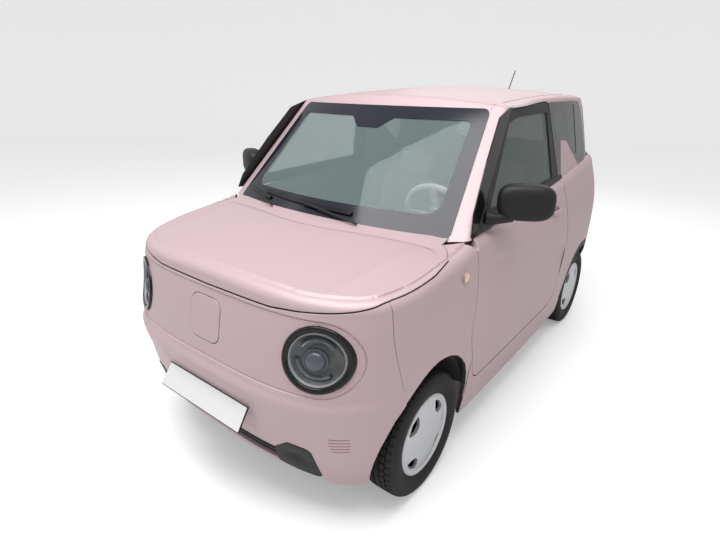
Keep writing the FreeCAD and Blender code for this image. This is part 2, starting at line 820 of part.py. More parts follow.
def tyre_shape():
    outer = size("tyre_radius")
    half = size("tyre_width") / 2
    bead = size("rim_radius") + 0.4
    seat = size("rim_width") / 2 - 0.5
    lip = bead + size("rim_flange") + 0.2
    profile = [(bead, -seat), (lip, -seat), (bead + 24, -seat - 6), (bead + 52, -half), (outer - 24, -half + 3),
               (outer - 5, -half + 15), (outer, -half + 32), (outer, half - 32), (outer - 5, half - 15),
               (outer - 24, half - 3), (bead + 52, half), (bead + 24, seat + 6), (lip, seat), (bead, seat),
               (bead, seat - 14), (bead + 40, half - 12), (outer - 22, half - 14), (outer - 22, -half + 14),
               (bead + 40, -half + 12), (bead, -seat + 14)]
    return revolved(profile)


def wheel_shape():
    seat = size("rim_radius")
    half = size("rim_width") / 2
    flange = seat + size("rim_flange")
    bulge = half + size("cover_bulge")
    profile = [(0, bulge), (60, bulge), (130, bulge - 5), (160, half + 2), (flange - 2, half + 6),
               (flange, half + 4), (flange, half), (seat, half), (seat, half - 14), (seat - 16, half - 26),
               (seat - 16, -half + 16), (seat, -half + 12), (seat, -half), (flange, -half),
               (flange, -half - 4), (seat - 8, -half - 4), (seat - 22, -half + 14), (seat - 22, half - 24),
               (130, half - 12), (80, half - 8), (72, 12), (0, 12)]
    body = revolved(profile)
    for turn in (45, 135, 225, 315):
        window = slot_window()
        window.rotate(Vector(0, 0, 0), Vector(0, 0, 1), turn)
        body = body.cut(window)
    return body


def slot_window():
    """Curved opening near the edge of the wheel cover."""
    outer = Part.makeCylinder(150, 60, Vector(0, 0, 30))
    inner = Part.makeCylinder(116, 60, Vector(0, 0, 30))
    wedge = Part.makeCylinder(200, 60, Vector(0, 0, 30), Vector(0, 0, 1), 40)
    wedge.rotate(Vector(0, 0, 0), Vector(0, 0, 1), -20)
    return outer.cut(inner).common(wedge)


def build_wheels():
    for name, x, y in (("front_left", WHEEL_X, -AXLE), ("front_right", -WHEEL_X, -AXLE),
                       ("rear_left", WHEEL_X, AXLE), ("rear_right", -WHEEL_X, AXLE)):
        for kind, shape in (("tyre", tyre_shape()), ("wheel", wheel_shape())):
            add_node("%s_%s" % (kind, name), shape, wheel_place(x, y))


# Chassis

def build_knuckle(side):
    """Hub carrier with spindle, steering arm and strut."""
    pin = size("kingpin_x") * side
    hub = WHEEL_X * side
    carrier = rod((pin, -AXLE, 180), (pin, -AXLE, 345), size("kingpin_radius"))
    spindle = rod((pin, -AXLE, HUB_LEVEL), (hub + 11.6 * side, -AXLE, HUB_LEVEL), size("hub_radius") / 2)
    strut = rod((pin, -AXLE, 330), (pin - 50 * side, -AXLE, 560), 20)
    arm = box_between(min(pin - 60 * side, pin), max(pin - 60 * side, pin), -AXLE - 12, -AXLE + 50, 236, 254)
    return carrier.fuse([spindle, strut, arm]).removeSplitter()


def build_rear_axle():
    """Twist beam with trailing arms and stub axles."""
    inner = size("rear_well_inner_x")
    beam = rod((-inner, AXLE - 120, HUB_LEVEL), (inner, AXLE - 120, HUB_LEVEL), 32)
    motor = Part.makeCylinder(100, 420, Vector(-160, AXLE + 40, 285), Vector(1, 0, 0))
    pieces = [motor, box_between(-60, 60, AXLE - 130, AXLE - 20, 250, 290)]
    for side in (1, -1):
        x = (inner + 28) * side
        arm = box_between(min(x, x - 30 * side), max(x, x - 30 * side), 690.3, AXLE + 60, 225, 298)
        stub = rod((x - 15 * side, AXLE, HUB_LEVEL), ((WHEEL_X + 11.6) * side, AXLE, HUB_LEVEL),
                   size("hub_radius") / 2)
        pieces += [arm, stub]
    return beam.fuse(pieces).removeSplitter()


def build_subframe():
    """Front cross member with the lower arms and two longitudinal rails."""
    pieces = []
    for side in (1, -1):
        rail_x = 330 * side
        pin = size("kingpin_x") * side
        pieces.append(box_between(rail_x - 30, rail_x + 30, -1400, size("firewall_y") - 26.3, 380, 470))
        pieces.append(box_between(rail_x - 30, rail_x + 30, -AXLE - 30, -AXLE + 30, 190, 390))
        arm = box_between(min(rail_x, pin), max(rail_x, pin), -AXLE - 30, -AXLE + 30, 190, 214)
        pieces.append(arm.cut(rod((pin, -AXLE, 100), (pin, -AXLE, 300), size("kingpin_radius") + 0.3)))
    cross = box_between(-340, 340, -AXLE - 40, -AXLE + 40, 190, 240)
    bar = box_between(-420, 420, -1420, -1380, 380, 470)
    return biggest(cross.fuse(pieces + [bar]).removeSplitter())


def well_tube(y, radius, x0, x1):
    """Wheel well: half a tube closed at its inner end."""
    tube = wheel_cutter(y, radius + 8, x0 - 4, x1).cut(wheel_cutter(y, radius, x0, x1 + 5))
    return tube.cut(box_between(-FAR, FAR, -FAR, FAR, -300, 300))


def build_liners():
    """Wheel wells, the rear ones only inside the cabin wall."""
    front = well_tube(-AXLE, size("arch_front_radius"), size("well_inner_x"), 690).common(FRONT_INNER)
    front = front.cut(box_between(600, 760, size("post_y") - 0.4, 0, 0, 1000))
    rear = well_tube(AXLE, size("arch_rear_radius"), size("rear_well_inner_x"), 690).common(ROOM)
    pieces = [biggest(front), biggest(rear)]
    return pieces + [mirror_x(piece) for piece in pieces]


def build_floor():
    """Floor, rear load floor and firewall, with two hood rests at the front."""
    top = size("floor_level")
    base = top - size("floor_plate")
    firewall_y = size("firewall_y")
    floor = box_between(-619.7, 619.7, firewall_y + 4, 690, base, top)
    load_floor = box_between(-515.7, 515.7, 688, 1400, base + 150, top + 150)
    riser = box_between(-515.7, 515.7, 660, 692, base, top + 150)
    firewall = box_between(-619.7, 619.7, firewall_y - 26, firewall_y + 4, base, 1000)
    rests = []
    for x in (-520, 480):
        rests.append(box_between(x, x + 40, -960, firewall_y, 930, 950))
        rests.append(box_between(x, x + 40, -960, -930, 930, 1100))
    posts = [front_post(), mirror_x(front_post())]
    pan = floor.fuse([load_floor, riser, firewall] + rests + posts).common(below_surface(hood_level, size("skin") + 0.3))
    return biggest(cut_all(pan, arch_cutters(8.3)).removeSplitter())


def rounded_box(x0, x1, y0, y1, z0, z1, radius):
    box = box_between(x0, x1, y0, y1, z0, z1)
    return box.makeFillet(radius, box.Edges)


def build_seat(side):
    x = size("seat_x") * side
    base = rounded_box(x - 235, x + 235, -230, 270, 420, 540, 40)
    back = rounded_box(x - 230, x + 230, 0, 110, 0, 600, 42)
    back.rotate(Vector(0, 0, 0), Vector(1, 0, 0), -18)
    back.translate(Vector(0, 246, 470))
    head = rounded_box(x - 130, x + 130, 0, 90, 0, 180, 36)
    head.rotate(Vector(0, 0, 0), Vector(1, 0, 0), -18)
    head.translate(Vector(0, 428, 1020))
    rails = box_between(x - 180, x + 180, -180, 230, size("floor_level") + 0.3, 425)
    return biggest(base.fuse([back, head, rails]).removeSplitter())


def build_bench():
    base = rounded_box(-480, 480, 760, 1180, 440.3, 560, 40)
    back = rounded_box(-480, 480, 0, 90, 0, 520, 36)
    back.rotate(Vector(0, 0, 0), Vector(1, 0, 0), -16)
    back.translate(Vector(0, 1130, 480))
    return biggest(base.fuse(back).removeSplitter())


def build_dashboard():
    outline = [(-795.7, 640, 0), (-795.7, 985, 0), (-690, 1020, 60), (-470, 985, 60), (-430, 880, 50),
               (-560, 660, 60)]
    bar = side_prism(outline, -600, 600)
    shroud = Part.makeCylinder(34, 110, Vector(0, 0, -220.3))
    shroud.Placement = steering_place()
    return biggest(bar.fuse(shroud).removeSplitter())


def build_steering_wheel():
    rim = Part.makeTorus(180, 14)
    hub = Part.makeCylinder(62, 40, Vector(0, 0, -22))
    spokes = [box_between(-178, 178, -16, 16, -12, 4), box_between(-16, 16, -178, 0, -12, 4)]
    column = Part.makeCylinder(26, 90, Vector(0, 0, -110))
    return rim.fuse([hub, column] + spokes).removeSplitter()


def steering_place():
    return Placement(Vector(size("seat_x"), -330, 985), Rotation(Vector(1, 0, 0), -65))


def build_mirror(side):
    head = rounded_box(-115.4, 115.4, -50, 50, 1094, 1242, 38)
    head.rotate(Vector(0, 0, 0), Vector(0, 0, 1), 28)
    head.translate(Vector(828, -536, 0))
    arm = rod((650, -652, 1106), (790, -575, 1112), 18).cut(glasshouse_slab("side", 0.3, 200))
    arm = biggest(arm)
    shape = head.fuse(arm).removeSplitter()
    return shape if side > 0 else mirror_x(shape)


def build_headlamps():
    """Round lamps whose lenses follow the nose."""
    lamps = lamp_cutter(size("lamp_radius"), -1700, -1372)
    return Part.makeCompound([biggest(OUTER_LOWER.common(lamp)) for lamp in lamps.Solids])


def tail_lamp_cutter(radius, y0, y1):
    cutters = []
    for side in (1, -1):
        start = Vector(side * size("tail_lamp_x"), y0, size("tail_lamp_level"))
        cutters.append(Part.makeCylinder(radius, y1 - y0, start, Vector(0, 1, 0)))
    return cutters


def build_tail_lamps():
    slab = end_slab(lower_tail_y, spread(-640, 640, 17), spread(600, 1260, 14), 4, size("tail_lamp_thick"), 1)
    return Part.makeCompound([biggest(slab.common(lamp)) for lamp in
                              tail_lamp_cutter(size("tail_lamp_radius"), 1300, 1700)])


def build_flap():
    return biggest(FRONT_SKIN.common(front_prism(flap_outline(), -1700, -1300)))


def build_grille():
    """Low intake with bars and its two sculpted corner pieces."""
    return biggest(FRONT_SKIN.common(front_prism(intake_outline(), -1700, -1300)))


def build_plate():
    half = size("plate_width") / 2
    high = size("plate_height") / 2
    level = size("plate_level")
    return rounded_box(-half, half, -HALF_LENGTH, -HALF_LENGTH + size("plate_thick"), level - high,
                       level + high, 1)


def build_cowl():
    """Strip between the hood and the windscreen."""
    hood_zone = plan_prism(hood_plan(), 800, 1300, size("panel_gap"))
    strip = FRONT_SKIN.common(box_between(-639.6, 639.6, -1000, size("post_y") - 10, 900, 1100))
    return biggest(strip.cut(hood_zone).cut(OUTER_CABIN))


def build_charge_port():
    """Box with the charging socket behind the flap."""
    half = size("flap_width") / 2 + 7
    low = size("flap_level") - size("flap_height") / 2 - 8
    high = size("flap_level") + size("flap_height") / 2 + 8
    box = INNER_LOWER.common(box_between(-half, half, -1700, -1440, low, high))
    box.translate(Vector(0, 0.3, 0))
    box = biggest(box).cut(front_prism([(-64, 712, 20), (64, 712, 20), (64, 824, 20), (-64, 824, 20)],
                                       -1700, -1456))
    socket = Part.makeCylinder(34, 24, Vector(0, -1476, 768), Vector(0, 1, 0))
    socket = socket.cut(Part.makeCylinder(28, 14, Vector(0, -1480, 768), Vector(0, 1, 0)))
    return box.fuse(socket)


def build_antenna():
    foot = Part.makeCone(16, 8, 22, Vector(0, 1225, roof_level(0, 1210) + 0.3))
    mast = rod((0, 1225, roof_level(0, 1225) + 18), (0, 1313, 1718), 3.4)
    return foot.fuse(mast)


def build_all():
    skin_front = front_skin_below_hood()
    add_node("body_shell", build_lower_shell())
    add_node("cabin_frame", build_cabin_frame())
    add_node("roof_panel", build_roof())
    add_node("hood", build_hood())
    add_node("front_bumper", build_front_bumper(skin_front))
    fender = build_fender(skin_front)
    add_node("fender_left", fender)
    add_node("fender_right", mirror_x(fender))
    door, glass = build_door()
    for side, name in ((1, "left"), (-1, "right")):
        for kind, shape in (("door", door), ("door_glass", glass)):
            add_node("%s_%s" % (kind, name), shape if side > 0 else mirror_x(shape))
        add_node("mirror_%s" % name, build_mirror(side))
        add_node("knuckle_%s" % name, build_knuckle(side))
        add_node("seat_%s" % name, build_seat(side))
    quarter = glass_pane(QUARTER_WINDOW, "side")
    add_node("quarter_glass", Part.makeCompound([quarter, mirror_x(quarter)]))
    add_node("windscreen", glass_pane(SCREEN, "front"))
    gate, gate_glass = build_tailgate()
    add_node("tailgate", gate)
    add_node("tailgate_glass", gate_glass)
    add_node("rear_bumper", build_rear_bumper())
    add_node("headlamps", build_headlamps())
    add_node("tail_lamps", build_tail_lamps())
    add_node("charge_flap", build_flap())
    add_node("charge_port", build_charge_port())
    add_node("lower_grille", build_grille())
    add_node("number_plate", build_plate())
    add_node("cowl", build_cowl())
    add_node("antenna", build_antenna())
    add_node("floor_pan", build_floor())
    add_node("front_subframe", build_subframe())
    add_node("rear_axle", build_rear_axle())
    add_node("rear_bench", build_bench())
    add_node("dashboard", build_dashboard())
    add_node("steering_wheel", build_steering_wheel(), steering_place())
    add_node("wheel_liners", Part.makeCompound(build_liners()))
    add_node("battery_block", rounded_box(-400, 400, -600, 640, 165, size("floor_level") - 30, 12))
    build_wheels()


def check_and_export():
    DOC.recompute()
    for item in DOC.Objects:
        if "Invalid" in item.State or "Error" in item.State:
            raise RuntimeError("%s failed" % item.Label)
    os.makedirs("parts", exist_ok=True)
    for part in NODES:
        shape = part.Shape
        if shape.isNull() or not shape.isValid():
            raise RuntimeError("%s has no valid shape" % part.Label)
        shape.exportStep("parts/%s.step" % part.Label)


build_all()
check_and_export()
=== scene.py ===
import json
import math
import bpy
import numpy as np
from mathutils import Matrix, Vector
from mathutils.bvhtree import BVHTree
from mathutils.geometry import delaunay_2d_cdt


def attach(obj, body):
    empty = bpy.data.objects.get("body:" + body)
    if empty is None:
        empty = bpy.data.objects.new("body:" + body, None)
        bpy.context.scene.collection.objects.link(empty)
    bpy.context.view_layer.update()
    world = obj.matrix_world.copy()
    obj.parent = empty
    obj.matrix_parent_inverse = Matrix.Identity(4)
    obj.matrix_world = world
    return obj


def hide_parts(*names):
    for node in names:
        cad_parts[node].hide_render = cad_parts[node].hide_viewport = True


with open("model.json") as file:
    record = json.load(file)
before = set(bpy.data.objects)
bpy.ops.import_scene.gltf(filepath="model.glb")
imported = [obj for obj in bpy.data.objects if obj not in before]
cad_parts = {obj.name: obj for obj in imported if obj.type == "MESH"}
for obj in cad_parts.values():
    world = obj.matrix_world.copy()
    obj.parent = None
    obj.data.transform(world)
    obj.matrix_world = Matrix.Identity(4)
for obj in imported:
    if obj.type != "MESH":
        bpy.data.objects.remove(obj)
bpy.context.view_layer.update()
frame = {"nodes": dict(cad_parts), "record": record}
NODES = frame["nodes"]
MM = 0.001
SIDES = (("left", 1), ("right", -1))

# ---------------------------------------------------------------- materials


def colour(red, green, blue):
    return (red, green, blue, 1.0)


def material(name, base, rough=0.5, metal=0.0, coat=0.0, coat_rough=0.1, specular=0.5):
    made = bpy.data.materials.new(name)
    made.use_nodes = True
    shader = made.node_tree.nodes["Principled BSDF"]
    shader.inputs["Base Color"].default_value = base
    shader.inputs["Roughness"].default_value = rough
    shader.inputs["Metallic"].default_value = metal
    shader.inputs["Coat Weight"].default_value = coat
    shader.inputs["Coat Roughness"].default_value = coat_rough
    shader.inputs["Specular IOR Level"].default_value = specular
    return made


def add_bump(made, kind, scale, strength, distance, detail=2.0):
    """Fine procedural relief in object space."""
    tree = made.node_tree
    coords = tree.nodes.new("ShaderNodeTexCoord")
    texture = tree.nodes.new(kind)
    texture.inputs["Scale"].default_value = scale
    if "Detail" in texture.inputs:
        texture.inputs["Detail"].default_value = detail
    bump = tree.nodes.new("ShaderNodeBump")
    bump.inputs["Strength"].default_value = strength
    bump.inputs["Distance"].default_value = distance
    tree.links.new(coords.outputs["Object"], texture.inputs["Vector"])
    output = texture.outputs["Fac"] if "Fac" in texture.outputs else texture.outputs["Distance"]
    tree.links.new(output, bump.inputs["Height"])
    tree.links.new(bump.outputs["Normal"], tree.nodes["Principled BSDF"].inputs["Normal"])
    return made


def glass_material(name, tint, clear):
    """Thin tinted glass: part mirror, part tinted clear."""
    made = bpy.data.materials.new(name)
    made.use_nodes = True
    shader = made.node_tree.nodes["Principled BSDF"]
    shader.inputs["Base Color"].default_value = tint
    shader.inputs["Roughness"].default_value = 0.03
    shader.inputs["IOR"].default_value = 1.45
    shader.inputs["Alpha"].default_value = 1 - clear
    return made


PAINT = material("body_paint", colour(0.45, 0.335, 0.352), rough=0.5, metal=0.25, coat=0.08, coat_rough=0.25,
                 specular=0.4)
# Body paint darkened to its shaded tone: painted shade for the roof and hood seams, the bumper slits and the
# handle pocket.
SHADE = material("painted_shade", colour(0.20, 0.10, 0.11), rough=0.6)
BORDER = material("glass_border", colour(0.010, 0.011, 0.018), rough=0.12, specular=0.35)
LAMP_BOWL = material("lamp_bowl", colour(0.10, 0.105, 0.11), rough=0.25, metal=0.5)
EYE_GLASS = material("projector", colour(0.10, 0.11, 0.13), rough=0.06, metal=0.3)
BROW = material("lamp_brow", colour(0.34, 0.36, 0.38), rough=0.2, metal=0.6)
BLACK = add_bump(material("black_plastic", colour(0.010, 0.010, 0.011), rough=0.5, specular=0.3),
                 "ShaderNodeTexNoise", 900, 0.15, 0.0004)
GLOSS_BLACK = material("gloss_black", colour(0.006, 0.006, 0.007), rough=0.15, specular=0.3)
RUBBER = material("tyre_rubber", colour(0.013, 0.013, 0.014), rough=0.75, specular=0.3)
SEAL = material("seal_rubber", colour(0.015, 0.015, 0.016), rough=0.6)
TRIM = material("cabin_trim", colour(0.34, 0.34, 0.335), rough=0.75)
SILVER = material("wheel_silver", colour(0.50, 0.51, 0.53), rough=0.32, metal=0.6)
CHASSIS = material("chassis_black", colour(0.03, 0.03, 0.032), rough=0.7)
CAST = material("cast_iron", colour(0.13, 0.13, 0.13), rough=0.6, metal=0.6)
ALLOY = material("battery_alloy", colour(0.42, 0.43, 0.45), rough=0.45, metal=0.8)
CLOTH = add_bump(material("seat_cloth", colour(0.55, 0.53, 0.54), rough=0.85), "ShaderNodeTexNoise", 700, 0.3,
                 0.0006)
DASH = material("dash_plastic", colour(0.60, 0.56, 0.56), rough=0.6)
GRIP = material("wheel_grip", colour(0.66, 0.63, 0.64), rough=0.5)
PLATE = material("plate_white", colour(0.60, 0.60, 0.60), rough=0.4)
WHITE_LAMP = material("lamp_ring", colour(0.30, 0.315, 0.33), rough=0.25)
RED_LAMP = material("red_lens", colour(0.38, 0.015, 0.02), rough=0.15, coat=0.6)
AMBER = material("side_marker", colour(0.76, 0.52, 0.36), rough=0.3)
CHROME = material("chrome", colour(0.8, 0.81, 0.83), rough=0.12, metal=1.0)
SCREEN_GLASS = glass_material("screen_glass", colour(0.18, 0.25, 0.24), 0.70)
SIDE_GLASS = glass_material("side_glass", colour(0.09, 0.125, 0.11), 0.58)
DARK_GLASS = glass_material("dark_glass", colour(0.05, 0.06, 0.058), 0.35)
LENS = glass_material("lamp_lens", colour(0.05, 0.055, 0.06), 0.86)

SLOT_MATERIALS = {
    "body_paint": PAINT, "glass": SIDE_GLASS, "black_plastic": BLACK, "lamp": GLOSS_BLACK, "red_lamp": RED_LAMP,
    "tyre": RUBBER, "wheel_cover": SILVER, "chassis": CHASSIS, "cast": CAST, "battery": ALLOY,
    "seat_cloth": CLOTH, "dash": DASH, "wheel_grip": GRIP, "plate": PLATE, "liner": CHASSIS,
}
NODE_MATERIALS = {"windscreen": SCREEN_GLASS, "quarter_glass": DARK_GLASS, "tailgate_glass": DARK_GLASS}

# ---------------------------------------------------------------- CAD nodes


def dress_nodes():
    """Materials and smooth shading for the CAD nodes that stay in view."""
    for part in frame["record"]["subparts"]:
        node = NODES[part["node"]]
        made = NODE_MATERIALS.get(part["node"], SLOT_MATERIALS[part["material_slot"]])
        if not node.material_slots:
            node.data.materials.append(made)
        for place in node.material_slots:
            place.material = made
        weld = node.modifiers.new("weld", "WELD")
        weld.merge_threshold = 0.02 * MM
        split = node.modifiers.new("crease", "EDGE_SPLIT")
        split.split_angle = math.radians(28)
        smooth = node.modifiers.new("normals", "WEIGHTED_NORMAL")
        smooth.keep_sharp = True


dress_nodes()

# ---------------------------------------------------------------- body form
# The same form as the part's source, in millimetres. Panels are meshed over it and scaled to metres.

HALF_LENGTH = 1532.5
HALF_WIDTH = 761.0
AXLE = 1007.5
HUB_LEVEL = 266.5
BODY_BOW = 15.0
CABIN_BOW = 30.0
SHOULDER = 48.0
CROWN = 30.0
TOP_MARKS_Y = (-2500.0, -1452.5, -885.0, -740.0, 800.0, 2500.0)
TOP_MARKS_Z = (905.0, 965.0, 1040.0, 1069.0, 1187.0, 1307.0)
ARCH_LEVEL = 276.5
PANEL_GAP = 7.0


def square(value):
    return value * value


def smooth_step(value):
    value = np.clip(value, 0, 1)
    return value * value * (3 - 2 * value)


def flank_half(z):
    return HALF_WIDTH - np.where(z < 820, 49 * square((820 - z) / 635), 39 * square((z - 820) / 280))


def nose_y(z):
    return -HALF_LENGTH + 3 + 75 * square((z - 580) / 395)


def tail_y(z):
    return HALF_LENGTH - 43 * square((z - 560) / 440)


def top_level(y):
    return np.interp(y, TOP_MARKS_Y, TOP_MARKS_Z)


def hood_level(x, y):
    return top_level(y) - CROWN * square(x / 700)


def cabin_half(z):
    return 706 + (614 - 706) * (z - 1070) / (1531 - 1070)


class PlanEnd:
    """Rounded end of the body in plan, measured by arc length from the middle line."""

    def __init__(self, depth, power, tip, facing):
        share = 1 - np.linspace(1, 0, 1500) ** 3
        self.depth = depth
        self.tip = tip
        self.facing = facing
        self.shares = share
        self.along = depth * (1 - (1 - share ** power) ** (1 / power))
        steps = np.hypot(np.diff(share) * 745, np.diff(self.along))
        self.arc = np.concatenate(([0], np.cumsum(steps)))
        self.end = self.arc[-1]

    def point(self, s, z):
        """x and y of the body side at an arc length and a height."""
        run = np.abs(s)
        share = np.interp(run, self.arc, self.shares)
        along = np.interp(run, self.arc, self.along) + np.maximum(run - self.end, 0)
        half = flank_half(z)
        y = self.tip(z) - self.facing * along
        x = np.sign(s) * share * (half - BODY_BOW * square(y / AXLE))
        return x, y

    def s_at_y(self, y, z):
        distance = (self.tip(z) - y) * self.facing
        return np.interp(distance, self.along, self.arc) + np.maximum(distance - self.depth, 0)

    def s_at_x(self, x, z):
        return np.interp(np.abs(x) / (flank_half(z) - BODY_BOW * 2), self.shares, self.arc) * np.sign(x)

    def rounding_start(self, s):
        """Height where the shoulder rounding starts."""
        x, y = self.point(s, np.full_like(s, 900.0))
        return hood_level(x, y) - SHOULDER

    def body(self, s, v):
        """Point of the body for arc length s and girth v, which runs up the side and over the shoulder."""
        s = np.asarray(s, float)
        v = np.asarray(v, float)
        start = self.rounding_start(s)
        z = np.minimum(v, start)
        x, y = self.point(s, z)
        x1, y1 = self.point(s + 0.5, z)
        x0, y0 = self.point(s - 0.5, z)
        run = np.hypot(x1 - x0, y1 - y0) + 1e-9
        out_x, out_y = -self.facing * (y1 - y0) / run, self.facing * (x1 - x0) / run
        turn = np.clip((v - start) / SHOULDER, 0, math.pi / 2)
        inset = SHOULDER * (1 - np.cos(turn)) + np.maximum(v - start - SHOULDER * math.pi / 2, 0)
        x = x - out_x * inset
        y = y - out_y * inset
        z = z + SHOULDER * np.sin(turn)
        flat = v - start > SHOULDER * math.pi / 2
        return np.stack((x, y, np.where(flat, hood_level(x, y), z)), axis=-1)


NOSE = PlanEnd(480, 3.33, nose_y, -1)
TAIL = PlanEnd(520, 2.9, tail_y, 1)


def cabin_side(side):
    def surface(y, z):
        y, z = np.asarray(y, float), np.asarray(z, float)
        half = cabin_half(z)
        x = half - np.where(y > 0, CABIN_BOW, 0) * square(y / AXLE)
        return np.stack((x * side, y, z), axis=-1)
    return surface


# ---------------------------------------------------------------- meshing

CROWD_CELL = 5


def densify(points, step):
    """Closed loop with points no further apart than step."""
    out = []
    for k, start in enumerate(points):
        stop = points[(k + 1) % len(points)]
        run = math.dist(start, stop)
        count = max(1, int(math.ceil(run / step)))
        out += [(start[0] + (stop[0] - start[0]) * i / count, start[1] + (stop[1] - start[1]) * i / count)
                for i in range(count)]
    return out


def rounded(corners, arc_steps=6):
    """Loop through corners (a, b, radius) with round corners."""
    out = []
    count = len(corners)
    for k, (a, b, radius) in enumerate(corners):
        here = Vector((a, b))
        back = Vector(corners[k - 1][:2]) - here
        ahead = Vector(corners[(k + 1) % count][:2]) - here
        if radius == 0:
            out.append((a, b))
            continue
        half_angle = back.angle(ahead) / 2
        reach = min(radius / math.tan(half_angle), back.length * 0.49, ahead.length * 0.49)
        radius = reach * math.tan(half_angle)
        middle = (back.normalized() + ahead.normalized()).normalized()
        centre = here + middle * (radius / math.sin(half_angle))
        first = here + back.normalized() * reach - centre
        last = here + ahead.normalized() * reach - centre
        sweep = first.angle_signed(last)
        for i in range(arc_steps + 1):
            turned = first.copy()
            turned.rotate(Matrix.Rotation(-sweep * i / arc_steps, 2))
            out.append(tuple(centre + turned))
    return out


def inside(points, loop):
    """Which of the points lie inside a loop."""
    px, py = points[:, 0], points[:, 1]
    hit = np.zeros(len(points), bool)
    loop = np.asarray(loop)
    for (ax, ay), (bx, by) in zip(loop, np.roll(loop, -1, axis=0)):
        if ay == by:
            continue
        crosses = ((ay > py) != (by > py)) & (px < (bx - ax) * (py - ay) / (by - ay) + ax)
        hit ^= crosses
    return hit


def within(points, loops):
    """Which of the points lie in the outer loop and outside its holes."""
    good = inside(points, loops[0])
    for hole in loops[1:]:
        good &= ~inside(points, hole)
    return good


def near_loop(points, loop, reach):
    """Which of the points lie within reach of a loop's corners."""
    close = np.zeros(len(points), bool)
    for corner in np.asarray(loop):
        close |= np.abs(points - corner).max(axis=1) < reach
    return close


def with_extra(grid, extra, loops, step):
    """Grid points plus extra points, without the grid points that the extra ones crowd."""
    good = within(extra, loops)
    for loop in loops:
        good &= ~near_loop(extra, loop, step * 0.4)
    extra = extra[good]
    cells = {(int(a // CROWD_CELL), int(b // CROWD_CELL)) for a, b in extra}
    near = [(i, j) for i in (-1, 0, 1) for j in (-1, 0, 1)]
    free = [not any((int(a // CROWD_CELL) + i, int(b // CROWD_CELL) + j) in cells for i, j in near)
            for a, b in grid]
    return np.concatenate((grid[np.array(free)], extra))


def fill_region(loops, step, extra=()):
    """Triangles over a region given by an outer loop and holes, with extra points where they are wanted."""
    outer = np.asarray(loops[0])
    low, high = outer.min(axis=0), outer.max(axis=0)
    xs = np.arange(low[0] + step / 2, high[0], step)
    ys = np.arange(low[1] + step / 2, high[1], step)
    grid = np.stack(np.meshgrid(xs, ys), axis=-1)
    grid[1::2, :, 0] += step / 2
    grid = grid.reshape(-1, 2)
    keep = within(grid, loops)
    for loop in loops:
        keep &= ~near_loop(grid, loop, step * 0.55)
    grid = grid[keep]
    if len(extra):
        grid = with_extra(grid, np.asarray(extra, float), loops, step)
    verts, edges = [], []
    for loop in loops:
        base = len(verts)
        verts += [Vector(p) for p in loop]
        edges += [(base + k, base + (k + 1) % len(loop)) for k in range(len(loop))]
    verts += [Vector(p) for p in grid]
    made = delaunay_2d_cdt(verts, edges, [], 1, 1e-4)
    flat = np.array([tuple(p) for p in made[0]])
    faces = np.array(made[2])
    middle = flat[faces].mean(axis=1)
    faces = faces[within(middle, loops)]
    a, b, c = flat[faces[:, 0]], flat[faces[:, 1]], flat[faces[:, 2]]
    turn = (b[:, 0] - a[:, 0]) * (c[:, 1] - a[:, 1]) - (b[:, 1] - a[:, 1]) * (c[:, 0] - a[:, 0])
    faces[turn < 0] = faces[turn < 0][:, ::-1]
    return flat, faces


def surface_normals(surface, flat, outward):
    reach = 0.4
    along = surface(flat[:, 0] + reach, flat[:, 1]) - surface(flat[:, 0] - reach, flat[:, 1])
    up = surface(flat[:, 0], flat[:, 1] + reach) - surface(flat[:, 0], flat[:, 1] - reach)
    normal = np.cross(along, up) * outward
    return normal / (np.linalg.norm(normal, axis=1, keepdims=True) + 1e-12)


def border_edges(faces):
    """Directed edges that belong to one triangle only."""
    pairs = np.concatenate((faces[:, [0, 1]], faces[:, [1, 2]], faces[:, [2, 0]]))
    keys = {}
    for a, b in pairs.tolist():
        keys[(a, b)] = True
    return [(a, b) for a, b in keys if (b, a) not in keys]


def mesh_object(name, verts, faces, made, body, smooth=True, angle=32):
    mesh = bpy.data.meshes.new(name)
    mesh.from_pydata([tuple(p) for p in np.asarray(verts) * MM], [], [tuple(f) for f in faces])
    mesh.materials.append(made)
    if smooth:
        mesh.shade_smooth()
        mesh.set_sharp_from_angle(angle=math.radians(angle))
    item = bpy.data.objects.new(name, mesh)
    bpy.context.scene.collection.objects.link(item)
    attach(item, body)
    return item


